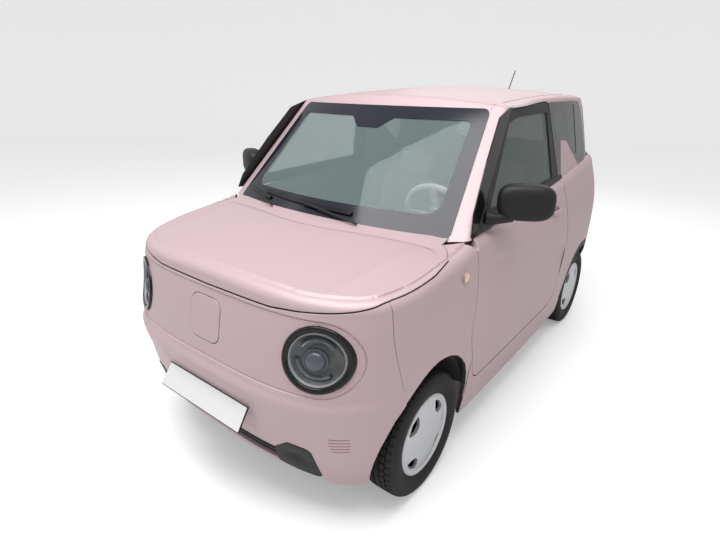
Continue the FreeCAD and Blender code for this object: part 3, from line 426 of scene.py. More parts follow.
def plate(name, loops, step, surface, outward, made, body, depth=18.0, lift=0.0, relief=None,
          edge=1.3, closed=True, extra=(), rim_made=None):
    """Panel over a body surface, with a rounded edge, a rim and an inner side."""
    dense = [densify(loop, step) for loop in loops]
    flat, faces = fill_region(dense, step, extra)
    if outward < 0:
        faces = faces[:, ::-1]
    points = surface(flat[:, 0], flat[:, 1])
    normals = surface_normals(surface, flat, outward)
    height = np.full(len(flat), lift)
    if relief is not None:
        height = height + relief(flat[:, 0], flat[:, 1], points)
    top = points + normals * height[:, None]
    edges = border_edges(faces)
    rim = sorted({a for pair in edges for a in pair})
    place = {v: k for k, v in enumerate(rim)}
    side = np.zeros((len(rim), 3))
    for a, b in edges:
        run = top[b] - top[a]
        away = np.cross(run, normals[a])
        side[place[a]] += away
        side[place[b]] += away
    side /= np.linalg.norm(side, axis=1, keepdims=True) + 1e-12
    count = len(top)
    ring_one = top[rim] + side * edge - normals[rim] * edge * 1.1
    ring_two = points[rim] + side * edge - normals[rim] * depth
    verts = [top, ring_one, ring_two]
    out = [tuple(f) for f in faces]
    n = len(rim)
    for a, b in edges:
        i, j = place[a], place[b]
        out.append((b, a, count + i, count + j))
        out.append((count + j, count + i, count + n + i, count + n + j))
    if closed:
        back = points - normals * depth
        base = count + 2 * n
        verts.append(back)
        out += [tuple(base + k for k in reversed(f)) for f in faces.tolist()]
        for a, b in edges:
            out.append((count + n + place[b], count + n + place[a], base + a, base + b))
    item = mesh_object(name, np.concatenate(verts), out, made, body)
    # With chassis black, the rim sides and the inner side are painted shade: dark lines in the panel gaps and dark
    # arch edges.
    if rim_made is not None:
        item.data.materials.append(rim_made)
        for number, face in enumerate(item.data.polygons):
            if number >= len(faces) + len(edges) * 2:
                face.material_index = 1
            elif number >= len(faces) and (number - len(faces)) % 2 == 1:
                face.material_index = 1
    return item


def mirrored(item, name, body):
    """Copy of a left piece for the right side."""
    mesh = item.data.copy()
    mesh.transform(Matrix.Scale(-1, 4, (1, 0, 0)))
    mesh.flip_normals()
    twin = bpy.data.objects.new(name, mesh)
    bpy.context.scene.collection.objects.link(twin)
    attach(twin, body)
    return twin


# ---------------------------------------------------------------- panel outlines

DOOR_FRONT = -740.0
DOOR_LOOP = rounded([(DOOR_FRONT, 1053, 5), (DOOR_FRONT, 620, 160), (DOOR_FRONT + 108, 352, 70), (456, 352, 70),
                     (516, 720, 260), (345, 1136, 8)], 10)
BUMPER_ARCH = [(-1291, 183), (-1303, 250), (-1305, 300), (-1297, 370), (-1277, 430), (-1250, 485),
               (-1206, 536)]
FENDER_ARCH = [(-703.5, 285), (-708, 360), (-726, 432), (-757, 492), (-800, 540), (-850, 580), (-910, 607),
               (-960, 620), (-1010, 625), (-1060, 619), (-1110, 602), (-1160, 573), (-1205, 537)]
FENDER_SEAM = [(-1213.0, 570.0), (-1242, 665), (-1266, 755), (-1275, 830), (-1273, 890), (-1267, 926)]
REAR_ARCH_HALF, REAR_ARCH_RISE = 318.0, 344.0
POST_Y = -700.0
SEAM_GAP = 3.4
FIXED_GAP = 0.7


def offset_loop(points, distance):
    """Loop moved sideways; positive is outwards for a clockwise or anticlockwise loop alike."""
    pts = np.asarray(densify(points, 12.0))
    ahead = np.roll(pts, -1, axis=0) - np.roll(pts, 1, axis=0)
    area = np.sum(pts[:, 0] * np.roll(pts[:, 1], -1) - np.roll(pts[:, 0], -1) * pts[:, 1])
    normal = np.stack((ahead[:, 1], -ahead[:, 0]), axis=1) * np.sign(area)
    normal /= np.linalg.norm(normal, axis=1, keepdims=True) + 1e-9
    return [tuple(p) for p in pts + normal * distance]


def rear_arch_points():
    """Rear wheel arch from its front foot over the top to its rear foot."""
    out = []
    for k in range(45):
        turn = math.pi * (1 - k / 44)
        out.append((AXLE + REAR_ARCH_HALF * soft_power(math.cos(turn), 0.87),
                    ARCH_LEVEL + REAR_ARCH_RISE * soft_power(math.sin(turn), 0.87)))
    return out


def soft_power(value, power):
    return math.copysign(abs(value) ** power, value)


def signed_powers(values, power):
    return np.sign(values) * np.abs(values) ** power


def to_body(end, points):
    """(y, v) points as (s, v) points of a rounded end."""
    return [(float(end.s_at_y(y, v)), v) for y, v in points]


def shoulder(y, rise):
    """Girth at a distance over the start of the shoulder rounding, on the flank at y."""
    x = 744 - BODY_BOW * square(y / AXLE)
    return float(hood_level(x, y)) - SHOULDER + rise


HOOD_EDGE_Y = (-1345.0, -1312.0, -1280.0, -1250.0, -1035.0, -941.0, -906.0)
HOOD_EDGE_RISE = (29.0, 36.0, 46.0, 50.0, 52.0, 66.0, 72.0)


def hood_edge_rise(s):
    xs = (0.0, 330.0, 560.0)
    marks = [float(NOSE.s_at_x(x, 915.0)) for x in xs] + [float(NOSE.s_at_y(y, 945.0)) for y in HOOD_EDGE_Y]
    return np.interp(np.abs(s), marks, (-14.0, -7.0, 19.0) + HOOD_EDGE_RISE)


def hood_edge_v(s, gap):
    return NOSE.rounding_start(np.asarray(s, float)) + hood_edge_rise(s) - gap


def paired(points):
    """Closed loop from its +s half, given from the middle round to the middle."""
    return points + [(-s, v) for s, v in reversed(points) if s > 0.01]


# ---------------------------------------------------------------- front face

LAMP_X, LAMP_LEVEL, LAMP_RADIUS = 522.0, 755.0, 118.0
FACE_HALF_HEIGHT = 134.0
FACE_LEVEL = 751.0
FACE_CENTRE_X = 530.0
LAMP_SEAM_START = 147.0


def face_distance(x, z):
    """Distance inside (negative) or outside the stadium outline of the lamp panel."""
    over = np.maximum(np.abs(x) - FACE_CENTRE_X, 0)
    return np.hypot(over, z - FACE_LEVEL) - FACE_HALF_HEIGHT


def groove(distance, width, depth):
    return -depth * np.exp(-square(distance / width))


def bumper_relief(s, v, points):
    x, z = points[:, 0], points[:, 2]
    inner = face_distance(x, z)
    level = -4.5 / (1 + np.exp(np.clip(inner / 1.6, -40, 40)))
    level += groove(inner, 1.9, 4.5)
    lamp = np.hypot(np.abs(x) - LAMP_X, z - LAMP_LEVEL)
    beside = np.clip((np.abs(x) - LAMP_X - 10) / 30, 0, 1)
    level += groove(inner + 24, 1.7, 3.6) * beside
    level += groove(lamp - LAMP_RADIUS - 5, 2.5, 1.5)
    joint = np.where(np.abs(z - FACE_LEVEL) > 100, groove(np.abs(x) - LAMP_X + 6, 1.4, 2.0), 0)
    level += joint * (inner < 0)
    below = 604 + 12 * square(x / 600) - z
    swage = smooth_step(below / 38) * (1 - smooth_step((below - 40) / 120))
    level += 15.0 * swage * np.clip((760 - np.abs(x)) / 120, 0, 1)
    past = np.maximum(np.abs(z - FACE_LEVEL) - LAMP_SEAM_START, 0)
    level += groove(np.hypot(np.abs(x) - LAMP_X, past), 1.4, 3.0)
    plate = np.clip((285 - np.abs(x)) / 25, 0, 1) * np.clip((95 - np.abs(z - 470)) / 18, 0, 1)
    level -= 5.0 * plate
    return level


def front_loop(corners, spacing=6.0):
    """(x, z) outline as a dense (s, v) loop on the nose."""
    dense = densify(rounded(corners, 6), spacing)
    return [(float(NOSE.s_at_x(x, z)), z) for x, z in dense]


def circle(x, z, radius, count):
    return [(x + radius * math.cos(math.tau * k / count), z + radius * math.sin(math.tau * k / count))
            for k in range(count)]


def rectangle(x0, z0, x1, z1, radius):
    """Corners of a rectangle that are rounded by a radius."""
    return [(x0, z0, radius), (x1, z0, radius), (x1, z1, radius), (x0, z1, radius)]


FLAP_HALF_X, FLAP_HALF_Z, FLAP_LEVEL, FLAP_ROUND = 88.0, 84.0, 768.0, 42.0
FLAP_GAP = 5


def flap_corners(wider):
    """Outline of the charge flap, or of its opening where it is wider."""
    half_x, half_z = FLAP_HALF_X + wider, FLAP_HALF_Z + wider
    return rectangle(-half_x, FLAP_LEVEL - half_z, half_x, FLAP_LEVEL + half_z, FLAP_ROUND + wider)


def face_rows():
    """Extra mesh points along the edge of the lamp panel, so that its groove is crisp."""
    rows = []
    for away in (-30, -27, -24, -21, -7, -4.5, -2.2, 0, 2.2, 4.5):
        radius = FACE_HALF_HEIGHT + away
        outline = [(x, FACE_LEVEL + sign * radius) for sign in (1, -1)
                   for x in np.arange(-FACE_CENTRE_X, FACE_CENTRE_X, 6.0)]
        for k in range(int(math.pi * radius / 5)):
            turn = -math.pi / 2 + k * 5 / radius
            outline += [(sign * (FACE_CENTRE_X + radius * math.cos(turn)), FACE_LEVEL + radius * math.sin(turn))
                        for sign in (1, -1)]
        rows += [(float(NOSE.s_at_x(x, z)), z) for x, z in outline]
    return rows


def build_bumper():
    notch = [(338, 330), (405, 386), (440, 385), (475, 381), (494, 366), (500, 320), (505, 240), (512, 206),
             (540, 188), (590, 184)]
    lower = [(0.0, 330.0)] + [(float(NOSE.s_at_x(x, z)), float(z)) for x, z in notch]
    split = [(y - SEAM_GAP, z) for y, z in FENDER_SEAM]
    side = to_body(NOSE, BUMPER_ARCH + split)
    side_s = float(NOSE.s_at_y(-1268, 942))
    top = [(s, float(hood_edge_v(s, PANEL_GAP))) for s in np.linspace(side_s, 0, 60)]
    outer = paired(lower + side + top)
    holes = []
    for word, facing in SIDES:
        edge = circle(facing * LAMP_X, LAMP_LEVEL, LAMP_RADIUS + 1.5, 56)
        holes.append(front_loop([(x, z, 0) for x, z in edge]))
    holes.append(front_loop(flap_corners(FLAP_GAP)))
    item = plate("front_bumper_skin", [outer] + holes, 7.0, NOSE.body, 1, PAINT, "chassis", depth=20,
                 relief=bumper_relief, closed=False, extra=face_rows(), rim_made=CHASSIS)
    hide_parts("front_bumper")


def build_flap():
    item = plate("charge_flap_skin", [front_loop(flap_corners(0))], 7.0, NOSE.body, 1, PAINT, "charge_flap",
                 depth=20, lift=-3.0)
    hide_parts("charge_flap")


def build_fenders():
    front_s = float(NOSE.s_at_y(-1266, 942))
    rear_s = float(NOSE.s_at_y(-915, 960))
    top = [(s, float(hood_edge_v(s, PANEL_GAP))) for s in np.linspace(front_s, rear_s, 40)]
    corner = [(-899, shoulder(-899, 72)), (-895, shoulder(-895, 135)), (-797, shoulder(-797, 135)),
              (-768, shoulder(-768, 85)), (-747, shoulder(-747, 60))]
    door_side = [p for p in offset_loop(DOOR_LOOP, PANEL_GAP) if p[0] < POST_Y and p[1] < 1040]
    door_side.sort(key=lambda p: -p[1])
    rear = door_side + [(POST_Y, door_side[-1][1] - 6), (POST_Y, FENDER_ARCH[0][1])]
    loop = to_body(NOSE, FENDER_ARCH + FENDER_SEAM) + top + to_body(NOSE, corner + rear)
    item = plate("fender_skin_left", [loop], 9.0, NOSE.body, 1, PAINT, "chassis", depth=18, rim_made=CHASSIS)
    twin = mirrored(item, "fender_skin_right", "chassis")
    for piece, name in ((item, "fender_left"), (twin, "fender_right")):
        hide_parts(name)


CREASE_Y = (-740.0, -602.0, -295.0, -84.0, 181.0, 420.0, 480.0, 520.0)
CREASE_Z = (974.0, 946.0, 911.0, 882.0, 824.0, 760.0, 732.0, 700.0)
DOOR_FRAME = [(-722, 1056, 6), (-686, 1080, 40), (-270, 1506, 40), (235, 1528, 34), (336, 1160, 60),
              (344, 1112, 4)]


def crease_relief(s, v, points):
    """Hollow below the crease that falls along the door and turns round at its rear."""
    y, z = points[:, 1], points[:, 2]
    below = np.interp(y, CREASE_Y, CREASE_Z) - z
    hollow = -10.0 * smooth_step(below / 42) * smooth_step((z - 500) / 170)
    return hollow * smooth_step((y + 745) / 110) * smooth_step((528 - y) / 52)


WINDOW = [(-582, 1114, 12), (-306, 1452, 46), (-189, 1474, 30), (206, 1481, 14), (247, 1146, 10)]
COVER_FRONT = [(-752, 1062, 4), (-726, 1131, 0), (-645, 1225, 0), (-560, 1322, 0), (-476, 1406, 0),
               (-404, 1479, 40), (-290, 1514, 0), (-64, 1521, 0), (311, 1527, 0)]
QUARTER = [(860, 1527, 34), (930, 1467, 0), (1004, 1227, 26), (985, 1164, 26), (811, 1156, 30), (648, 1252, 0),
           (545, 1316, 14), (428, 1328, 8)]
PILLAR_SKIN = [(352, 1100, 3), (413, 1331, 3), (548, 1324, 14), (652, 1257, 10), (812, 1163, 10), (985, 1170, 10),
               (1002, 1120, 3)]
QUARTER_OPENING = [(320, 1512, 16), (744, 1512, 26), (776, 1205, 30), (660, 1262, 10), (556, 1330, 14),
                   (340, 1344, 10)]


def build_doors():
    loop = to_body(TAIL, densify(DOOR_LOOP, 9.0))
    item = plate("door_skin_left", [loop], 10.0, TAIL.body, -1, PAINT, "door_left", depth=84,
                 relief=crease_relief)
    twin = mirrored(item, "door_skin_right", "door_right")
    frame_outer = rounded(DOOR_FRAME, 8)
    window = rounded(WINDOW, 8)
    pane = offset_loop(rounded(WINDOW, 4), 8)
    for word, side in SIDES:
        body, skin = "door_" + word, (item, twin)[side < 0]
        rail = plate("door_frame_" + word, [frame_outer, window], 16.0, cabin_side(side), side, BLACK, body,
                     depth=28, lift=0.8)
        glass = plate("door_pane_" + word, [pane], 30.0, cabin_side(side), side, SIDE_GLASS, body, depth=9,
                      lift=-5, edge=0.2)
        for piece in (skin, rail):
            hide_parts(body)
        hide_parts("door_glass_" + word)


def build_side_covers():
    """Black borders round the side windows, rear side panes and the painted panel under them."""
    door_hole = offset_loop(rounded(DOOR_FRAME, 8), 3.5)
    quarter_hole = rounded(QUARTER_OPENING, 6)
    pane_loop = offset_loop(rounded(QUARTER_OPENING, 5), 9)
    outer = rounded(COVER_FRONT + QUARTER + [(406, 1150, 10), (398, 1116, 4)], 8)
    for word, side in SIDES:
        cover = plate("side_cover_" + word, [outer, door_hole, quarter_hole], 18.0, cabin_side(side), side,
                      GLOSS_BLACK, "chassis", depth=3.0, lift=2.2, edge=0.8)
        pane = plate("quarter_pane_" + word, [pane_loop], 26.0, cabin_side(side), side, DARK_GLASS, "chassis",
                     depth=2.0, lift=0.2, edge=0.2)
        plate("pillar_skin_" + word, [rounded(PILLAR_SKIN, 8)], 16.0, cabin_side(side), side, PAINT, "chassis",
              depth=7.0, lift=1.4, edge=0.8)
        for piece in (cover, pane):
            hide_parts("quarter_glass")


def build_quarters():
    gap = offset_loop(DOOR_LOOP, PANEL_GAP)
    low_front = [(POST_Y + FIXED_GAP, 185.0)]
    arch_loop = [(AXLE - REAR_ARCH_HALF, 185.0)] + rear_arch_points() + [(AXLE + REAR_ARCH_HALF, 185.0)]
    bumper_line = [(1344, 185), (1344, 540), (1352, 562), (1400, 585)]
    side = to_body(TAIL, low_front + arch_loop + bumper_line)
    levels = np.linspace(612, 1165, 30)
    gate_x = np.interp(levels, (612, 1080, 1197), (567, 567, 538))
    gate = [(float(TAIL.s_at_x(x, z)), float(z)) for x, z in zip(gate_x, levels)]
    top_s = np.linspace(gate[-1][0], float(TAIL.s_at_y(354, 1090)), 60)
    top = [(s, float(TAIL.rounding_start(np.array([s]))[0]) + 64) for s in top_s]
    gate = [p for p in gate if p[1] < top[0][1] - 6]
    rear = [p for p in gap if p[0] > 300 and 345.5 < p[1] < 1128]
    rear.sort(key=lambda p: -p[1])
    bottom = [p for p in gap if p[1] <= 345.5]
    bottom.sort(key=lambda p: -p[0])
    front = [p for p in gap if p[0] < -560 and p[1] > 345.5 and p[0] > POST_Y + 1.5 and p[1] < 600]
    front.sort(key=lambda p: p[1])
    inner = to_body(TAIL, rear + bottom + front + [(POST_Y + FIXED_GAP, front[-1][1] + 8)])
    loop = side + gate + top + inner
    item = plate("quarter_skin_left", [loop], 11.0, TAIL.body, -1, PAINT, "chassis", depth=16, lift=0.8,
                 closed=False, rim_made=CHASSIS)
    twin = mirrored(item, "quarter_skin_right", "chassis")


def build_hood():
    """Hood: a skirt that wraps the shoulder rounding and a crowned top, sewn together."""
    corner_s = float(NOSE.s_at_y(-912, 960))
    columns = np.linspace(-corner_s, corner_s, 221)
    rise = hood_edge_rise(columns)
    start = NOSE.rounding_start(columns)
    last = SHOULDER * math.pi / 2 + 14
    shares = 1 - np.linspace(1, 0, 15) ** 1.2
    skirt = np.stack([NOSE.body(columns, start + rise + (last - rise) * share) for share in shares])
    inner = skirt[-1][:, :2]
    half_rear = [(688.0, -905.0), (640, -899), (560, -896), (420, -916), (280, -944), (140, -970), (0, -981)]
    left_end = [p for p in half_rear if p[0] < inner[-1][0] - 4]
    rear = left_end + [(-x, y) for x, y in reversed(left_end) if x > 0]
    loop = [tuple(p) for p in inner] + densify_open(rear, 10.0)
    flat, faces = fill_region([loop], 14.0)
    top = np.stack((flat[:, 0], flat[:, 1], hood_level(flat[:, 0], flat[:, 1])), axis=-1)
    top[:, 2] += hood_crease(top)
    skirt[..., 2] += hood_crease(skirt.reshape(-1, 3)).reshape(skirt.shape[:2])
    height, width = skirt.shape[:2]
    out = []
    for r in range(height - 1):
        for c in range(width - 1):
            a = r * width + c
            out.append((a, a + 1, a + 1 + width, a + width))
    out += [tuple(height * width + k for k in f) for f in faces.tolist()]
    mesh = bpy.data.meshes.new("hood_skin")
    mesh.from_pydata([tuple(p) for p in np.concatenate((skirt.reshape(-1, 3), top)) * MM], [], out)
    item = bpy.data.objects.new("hood_skin", mesh)
    bpy.context.scene.collection.objects.link(item)
    mesh.materials.append(PAINT)
    mesh.shade_smooth()
    weld = item.modifiers.new("sew", "WELD")
    weld.merge_threshold = 0.3 * MM
    shell = item.modifiers.new("shell", "SOLIDIFY")
    shell.thickness = 20 * MM
    shell.offset = -1
    edge = item.modifiers.new("edge", "BEVEL")
    edge.width = 1.4 * MM
    edge.segments = 2
    edge.angle_limit = math.radians(60)
    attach(item, "hood")
    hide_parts("hood")


def densify_open(points, step):
    out = []
    for start, stop in zip(points, points[1:]):
        count = max(1, int(math.dist(start, stop) / step))
        out += [(start[0] + (stop[0] - start[0]) * i / count, start[1] + (stop[1] - start[1]) * i / count)
                for i in range(count)]
    return out + [points[-1]]


def hood_crease(points):
    """Soft fold that runs forward from the windscreen corner on each side."""
    x, y = np.abs(points[:, 0]), points[:, 1]
    line = 560 + 0.10 * (y + 900)
    away = (x - line) / 26
    fade = np.clip((-y - 880) / 120, 0, 1) * np.clip((y + 1440) / 200, 0, 1)
    return 4.5 * np.exp(-square(away)) * fade


build_bumper()
build_flap()
build_fenders()
build_doors()
build_quarters()
build_hood()


# ---------------------------------------------------------------- shapes for the details

def grid_object(name, grid, made, body, loop_rows=False, loop_columns=False, angle=40):
    """Mesh from a structured grid of points (rows, columns, 3)."""
    rows, columns = grid.shape[:2]
    faces = []
    for r in range(rows if loop_rows else rows - 1):
        for c in range(columns if loop_columns else columns - 1):
            n, m = (r + 1) % rows, (c + 1) % columns
            faces.append((r * columns + c, r * columns + m, n * columns + m, n * columns + c))
    return mesh_object(name, grid.reshape(-1, 3), faces, made, body, angle=angle)


def lathe(name, profile, centre, axis, made, body, steps=72, angle=40):
    """Turned piece: profile of (radius, distance along the axis), closed into a ring."""
    axis = Vector(axis).normalized()
    side = axis.orthogonal().normalized()
    other = axis.cross(side)
    turns = np.linspace(0, math.tau, steps, endpoint=False)
    ring = np.outer(np.cos(turns), side) + np.outer(np.sin(turns), other)
    grid = np.array([np.asarray(centre) + ring * radius + np.asarray(axis) * along for radius, along in profile])
    return grid_object(name, grid[:, ::-1], made, body, loop_columns=True, angle=angle)


def block(name, low, high, made, body, edge=3.0, segments=3):
    """Box with rounded edges."""
    a, b = np.asarray(low, float), np.asarray(high, float)
    verts = [(x, y, z) for x in (a[0], b[0]) for y in (a[1], b[1]) for z in (a[2], b[2])]
    faces = [(0, 1, 3, 2), (4, 6, 7, 5), (0, 4, 5, 1), (2, 3, 7, 6), (0, 2, 6, 4), (1, 5, 7, 3)]
    item = mesh_object(name, verts, faces, made, body, smooth=False)
    round_edges(item, edge, segments)
    return item


def round_edges(item, width, segments=2, angle=40):
    bevel = item.modifiers.new("edge", "BEVEL")
    bevel.width = width * MM
    bevel.segments = segments
    bevel.limit_method = "ANGLE"
    bevel.angle_limit = math.radians(angle)
    item.data.shade_smooth()
    normals = item.modifiers.new("normals", "WEIGHTED_NORMAL")
    normals.keep_sharp = True


def bulb(name, centre, half, power, made, body, turn=None, steps=40):
    """Rounded box: a superellipsoid, turned about its centre by a matrix."""
    power = 2 / power
    up = np.linspace(-math.pi / 2, math.pi / 2, steps // 2 + 1)
    round_ = np.linspace(0, math.tau, steps, endpoint=False)
    u, w = np.meshgrid(up, round_, indexing="ij")
    width = signed_powers(np.cos(u), power)
    unit = np.stack((width * signed_powers(np.cos(w), power), width * signed_powers(np.sin(w), power),
                     signed_powers(np.sin(u), power)), axis=-1)
    points = unit * np.asarray(half)
    if turn is not None:
        points = points @ np.asarray(turn.to_3x3()).T
    return grid_object(name, points + np.asarray(centre), made, body, loop_columns=True, angle=60)


def tube(name, points, radius, made, body, sides=10, smooth_steps=6):
    """Round bar along a smooth path."""
    path = smooth_path([Vector(p) for p in points], smooth_steps)
    first, last = radius if isinstance(radius, tuple) else (radius, radius)
    rings = []
    for k, here in enumerate(path):
        run = (path[min(k + 1, len(path) - 1)] - path[max(k - 1, 0)]).normalized()
        side = run.cross(Vector((0, 0, 1)))
        side = side.normalized() if side.length > 0.05 else run.cross(Vector((0, 1, 0))).normalized()
        other = run.cross(side)
        size = first + (last - first) * k / (len(path) - 1)
        rings.append([here + (side * math.cos(t) + other * math.sin(t)) * size
                      for t in np.linspace(0, math.tau, sides, endpoint=False)])
    rings = [[path[0]] * sides] + rings + [[path[-1]] * sides]
    return grid_object(name, np.array([[tuple(p) for p in ring] for ring in rings]), made, body,
                       loop_columns=True, angle=50)


def smooth_path(points, steps):
    """Catmull-Rom path through the points."""
    if steps < 2 or len(points) < 3:
        return points
    ends = [points[0] * 2 - points[1]] + points + [points[-1] * 2 - points[-2]]
    out = []
    for a, b, c, d in zip(ends, ends[1:], ends[2:], ends[3:]):
        for i in range(steps):
            t = i / steps
            out.append(0.5 * ((2 * b) + (c - a) * t + (2 * a - 5 * b + 4 * c - d) * t * t
                              + (3 * b - a - 3 * c + d) * t ** 3))
    return out + [points[-1]]


NEAR_REACH = 2.4


def skin_of(names, start, direction):
    """Outer face of CAD nodes as a surface over two coordinates, found by casting rays on them."""
    corners, faces = [], []
    for name in names:
        base, node = len(corners), NODES[name]
        corners += [node.matrix_world @ v.co for v in node.data.vertices]
        faces += [tuple(base + k for k in p.vertices) for p in node.data.polygons]
    tree = BVHTree.FromPolygons(corners, faces)

    def surface(first, second):
        out = []
        for a, b in zip(np.ravel(first), np.ravel(second)):
            begin = Vector(start(a, b)) * MM
            hit = tree.ray_cast(begin, direction)[0]
            if hit is None:
                near = begin + Vector(direction) * NEAR_REACH
                hit = tree.find_nearest(near)[0]
                hit = hit or near
            out.append(tuple(hit / MM))
        return np.array(out)
    return surface


# ---------------------------------------------------------------- cabin

def line_cabin():
    """Grey trim on the faces of the body that look into the cabin."""
    for name in ("cabin_frame", "roof_panel"):
        node = NODES[name]
        node.data.materials.append(TRIM)
        for face in node.data.polygons:
            centre = node.matrix_world @ face.center / MM
            away = Vector((centre.x, centre.y - 300, centre.z - 1150))
            if face.normal.dot(away) < 0 and centre.z > 1010:
                face.material_index = 1


def pad(name, centre, half, tilt, seams, bolster, node, power=5.0):
    """Crowned cushion with sewn channels across it and raised sides, turned about the X axis."""
    power = 2 / power
    up = np.linspace(-math.pi / 2, math.pi / 2, 61)
    turns = np.linspace(0, math.tau, 120, endpoint=False)
    v, u = np.meshgrid(up, turns, indexing="ij")
    x = half[0] * signed_powers(np.cos(v), power) * signed_powers(np.cos(u), power)
    y = half[1] * signed_powers(np.cos(v), power) * signed_powers(np.sin(u), power)
    z = half[2] * signed_powers(np.sin(v), power)
    thin = 1 if half[1] < half[2] else 2
    across = np.abs(x) / half[0]
    waist = 1 - 0.035 * np.cos(math.pi * z / half[2] / 2) * (thin == 1)
    x = x * waist
    flat = [x, y, z]
    long = flat[3 - thin]
    crown = 1 - 0.13 * np.maximum(across, np.abs(long) / half[3 - thin]) ** 2
    rise = bolster * np.exp(-square((across - 0.80) / 0.13))
    dip = sum(np.exp(-square((long - s) / 7.0)) * (across < 0.62) for s in seams[0])
    dip = dip + sum(np.exp(-square((np.abs(x) - s) / 7.0)) for s in seams[1])
    flat[thin] = flat[thin] * crown * (1 + (rise - 7.0 * dip) / half[thin] * 0.9)
    grid = np.stack(flat, axis=-1)
    turn = np.array(Matrix.Rotation(math.radians(tilt), 3, "X"))
    grid = grid @ turn.T + np.array(centre)
    item = grid_object(name, grid[:, ::-1], CLOTH, "chassis", loop_columns=True, angle=180)
    weld = item.modifiers.new("weld", "WELD")
    weld.merge_threshold = 0.05 * MM
    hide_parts(node)


def build_seats():
    for word, side in SIDES:
        x, node = side * 330, "seat_" + word
        pad("seat_base_" + word, (x, 20, 486), (232, 246, 56), 0, ((-120, 0, 120), (140,)), 10, node)
        pad("seat_back_" + word, (x, 391, 738), (227, 52, 298), -18, ((-200, -100, 0, 100, 200), (140,)), 10, node)
        pad("seat_head_" + word, (x, 498.6, 1091.7), (127, 43, 88), -18, ((), ()), 0, node, 3.4)
        for number, place in enumerate((-150, 150)):
            runner = block("seat_runner_%s_%d" % (word, number), (x + place - 22, -175, 296),
                           (x + place + 22, 225, 432), CHASSIS, "chassis", 4)
            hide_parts(node)
        lever = lathe("seat_hinge_" + word, [(2, 0), (38, 0), (42, 4), (42, 14), (34, 20), (2, 20)],
                      (x + side * 226, 262, 520), (side, 0, 0), BLACK, "chassis", 40)
        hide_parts(node)
    pad("bench_base", (0, 970, 501), (477, 206, 57), 0, ((0,), (236,)), 6, "rear_bench", 6.0)
    pad("bench_back", (0, 1245, 717.5), (477, 43, 255), -16, ((-120, 0, 120), (236,)), 6, "rear_bench", 6.0)


def build_dash_details():
    """Screens and vents on the face of the dashboard."""
    surface = skin_of(("dashboard",), lambda x, z: (x, 900, z), Vector((0, -1, 0)))
    block("dash_screen", (-130, -448, 916), (130, -424, 1010), DARK_GLASS, "chassis", 5)
    block("dash_cluster", (245, -470, 925), (415, -440, 1012), DARK_GLASS, "chassis", 6)
    for name, x in (("vent_a", -520), ("vent_b", -190), ("vent_c", 190), ("vent_d", 520)):
        loop = rounded(rectangle(x - 48, 838, x + 48, 888, 12), 6)
        plate(name, [loop], 12.0, surface, -1, BLACK, "chassis", depth=4, lift=1.5, edge=1.0, closed=False)


def build_roof_seams():
    """Line of painted shade, a thin tube in darkened body paint, where the roof panel meets the side of the cabin.
    """
    for word, side in SIDES:
        surface = skin_of(("roof_panel", "cabin_frame"), lambda y, x: (side * x, y, 3000), Vector((0, 0, -1)))
        ys = np.linspace(-330, 1240, 60)
        xs = np.interp(ys, (-330, -210, -67, 180, 401, 900, 1240), (548, 556, 560, 560, 556, 545, 520))
        path = surface(ys, xs) + np.array((0, 0, -0.6))
        tube("roof_seam_" + word, path, 2.0, SHADE, "chassis", 6, 1)


def build_rear_details():
    """Heater lines on the rear window."""
    surface = skin_of(("tailgate_glass",), lambda x, z: (x, 3000, z), Vector((0, -1, 0)))
    for number, level in enumerate(np.linspace(1250, 1425, 9)):
        xs = np.linspace(-395, 395, 15)
        path = surface(xs, np.full_like(xs, level)) + np.array((0, 0.6, 0))
        tube("heater_line_%d" % number, path, 0.9, BROW, "tailgate", 6, 1)


# ---------------------------------------------------------------- wheels

# Half of the tyre's section as (distance from the middle, radius, kind of tread block, 0 for none).
TYRE_HALF = [
    (56.6, 166.0, 0), (56.9, 174.6, 0), (62.5, 188, 0), (69.5, 203, 0), (72.5, 220, 0), (71.0, 238, 0),
    (66.0, 252, 0), (60.0, 259.5, 0), (57.0, 261.5, 1), (50.0, 264.6, 1), (42.0, 265.6, 1), (41.2, 265.7, 0),
    (41.0, 259, 0), (36.0, 259, 0), (35.8, 266, 0), (35.0, 266, 2), (28.0, 266.3, 2), (16.6, 266.4, 2),
    (16.2, 266.4, 0), (16.0, 259, 0), (10.4, 259, 0), (10.2, 266.5, 0)]
TYRE_COLUMNS = 312
SIPE_DEPTH = 5.5
WHEEL_X = 646.5
COVER_RADIUS = 172
COVER_MARKS = (0, 30, 46, 50, 54, 90, 130, 152, 160, 165, 172)
COVER_FACE = (70, 70, 69.5, 67.5, 69, 67, 63, 58, 56, 60, 61.5)


def build_tyre(name, x, y, body):
    rows = [(-a, r, k) for a, r, k in TYRE_HALF] + TYRE_HALF[::-1]
    turns = np.linspace(0, math.tau, TYRE_COLUMNS, endpoint=False)
    side = 1 if x > 0 else -1
    grid = []
    for a, radius, kind in rows:
        radii = np.full(TYRE_COLUMNS, radius)
        if kind:
            shift = 0 if kind == 1 else 2
            cut = (np.arange(TYRE_COLUMNS) + shift + (int(a > 0) * 2)) % 6 == 0
            radii = np.where(cut, radius - SIPE_DEPTH, radii)
        grid.append(np.stack((np.full(TYRE_COLUMNS, x + a * side), y + radii * np.cos(turns),
                              HUB_LEVEL + radii * np.sin(turns)), axis=-1))
    grid = np.array(grid)
    if side > 0:
        grid = grid[:, ::-1]
    item = grid_object(name, grid[:, ::-1], RUBBER, body, loop_rows=True, loop_columns=True, angle=34)
    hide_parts("tyre_" + name[5:])


def cover_face(x, y):
    """Face of a wheel cover as a surface over y and z."""
    side = 1 if x > 0 else -1

    def surface(a, b):
        radius = np.hypot(a - y, b - HUB_LEVEL)
        out = np.interp(radius, COVER_MARKS, COVER_FACE)
        return np.stack((x + side * out, a, b), axis=-1)
    return surface


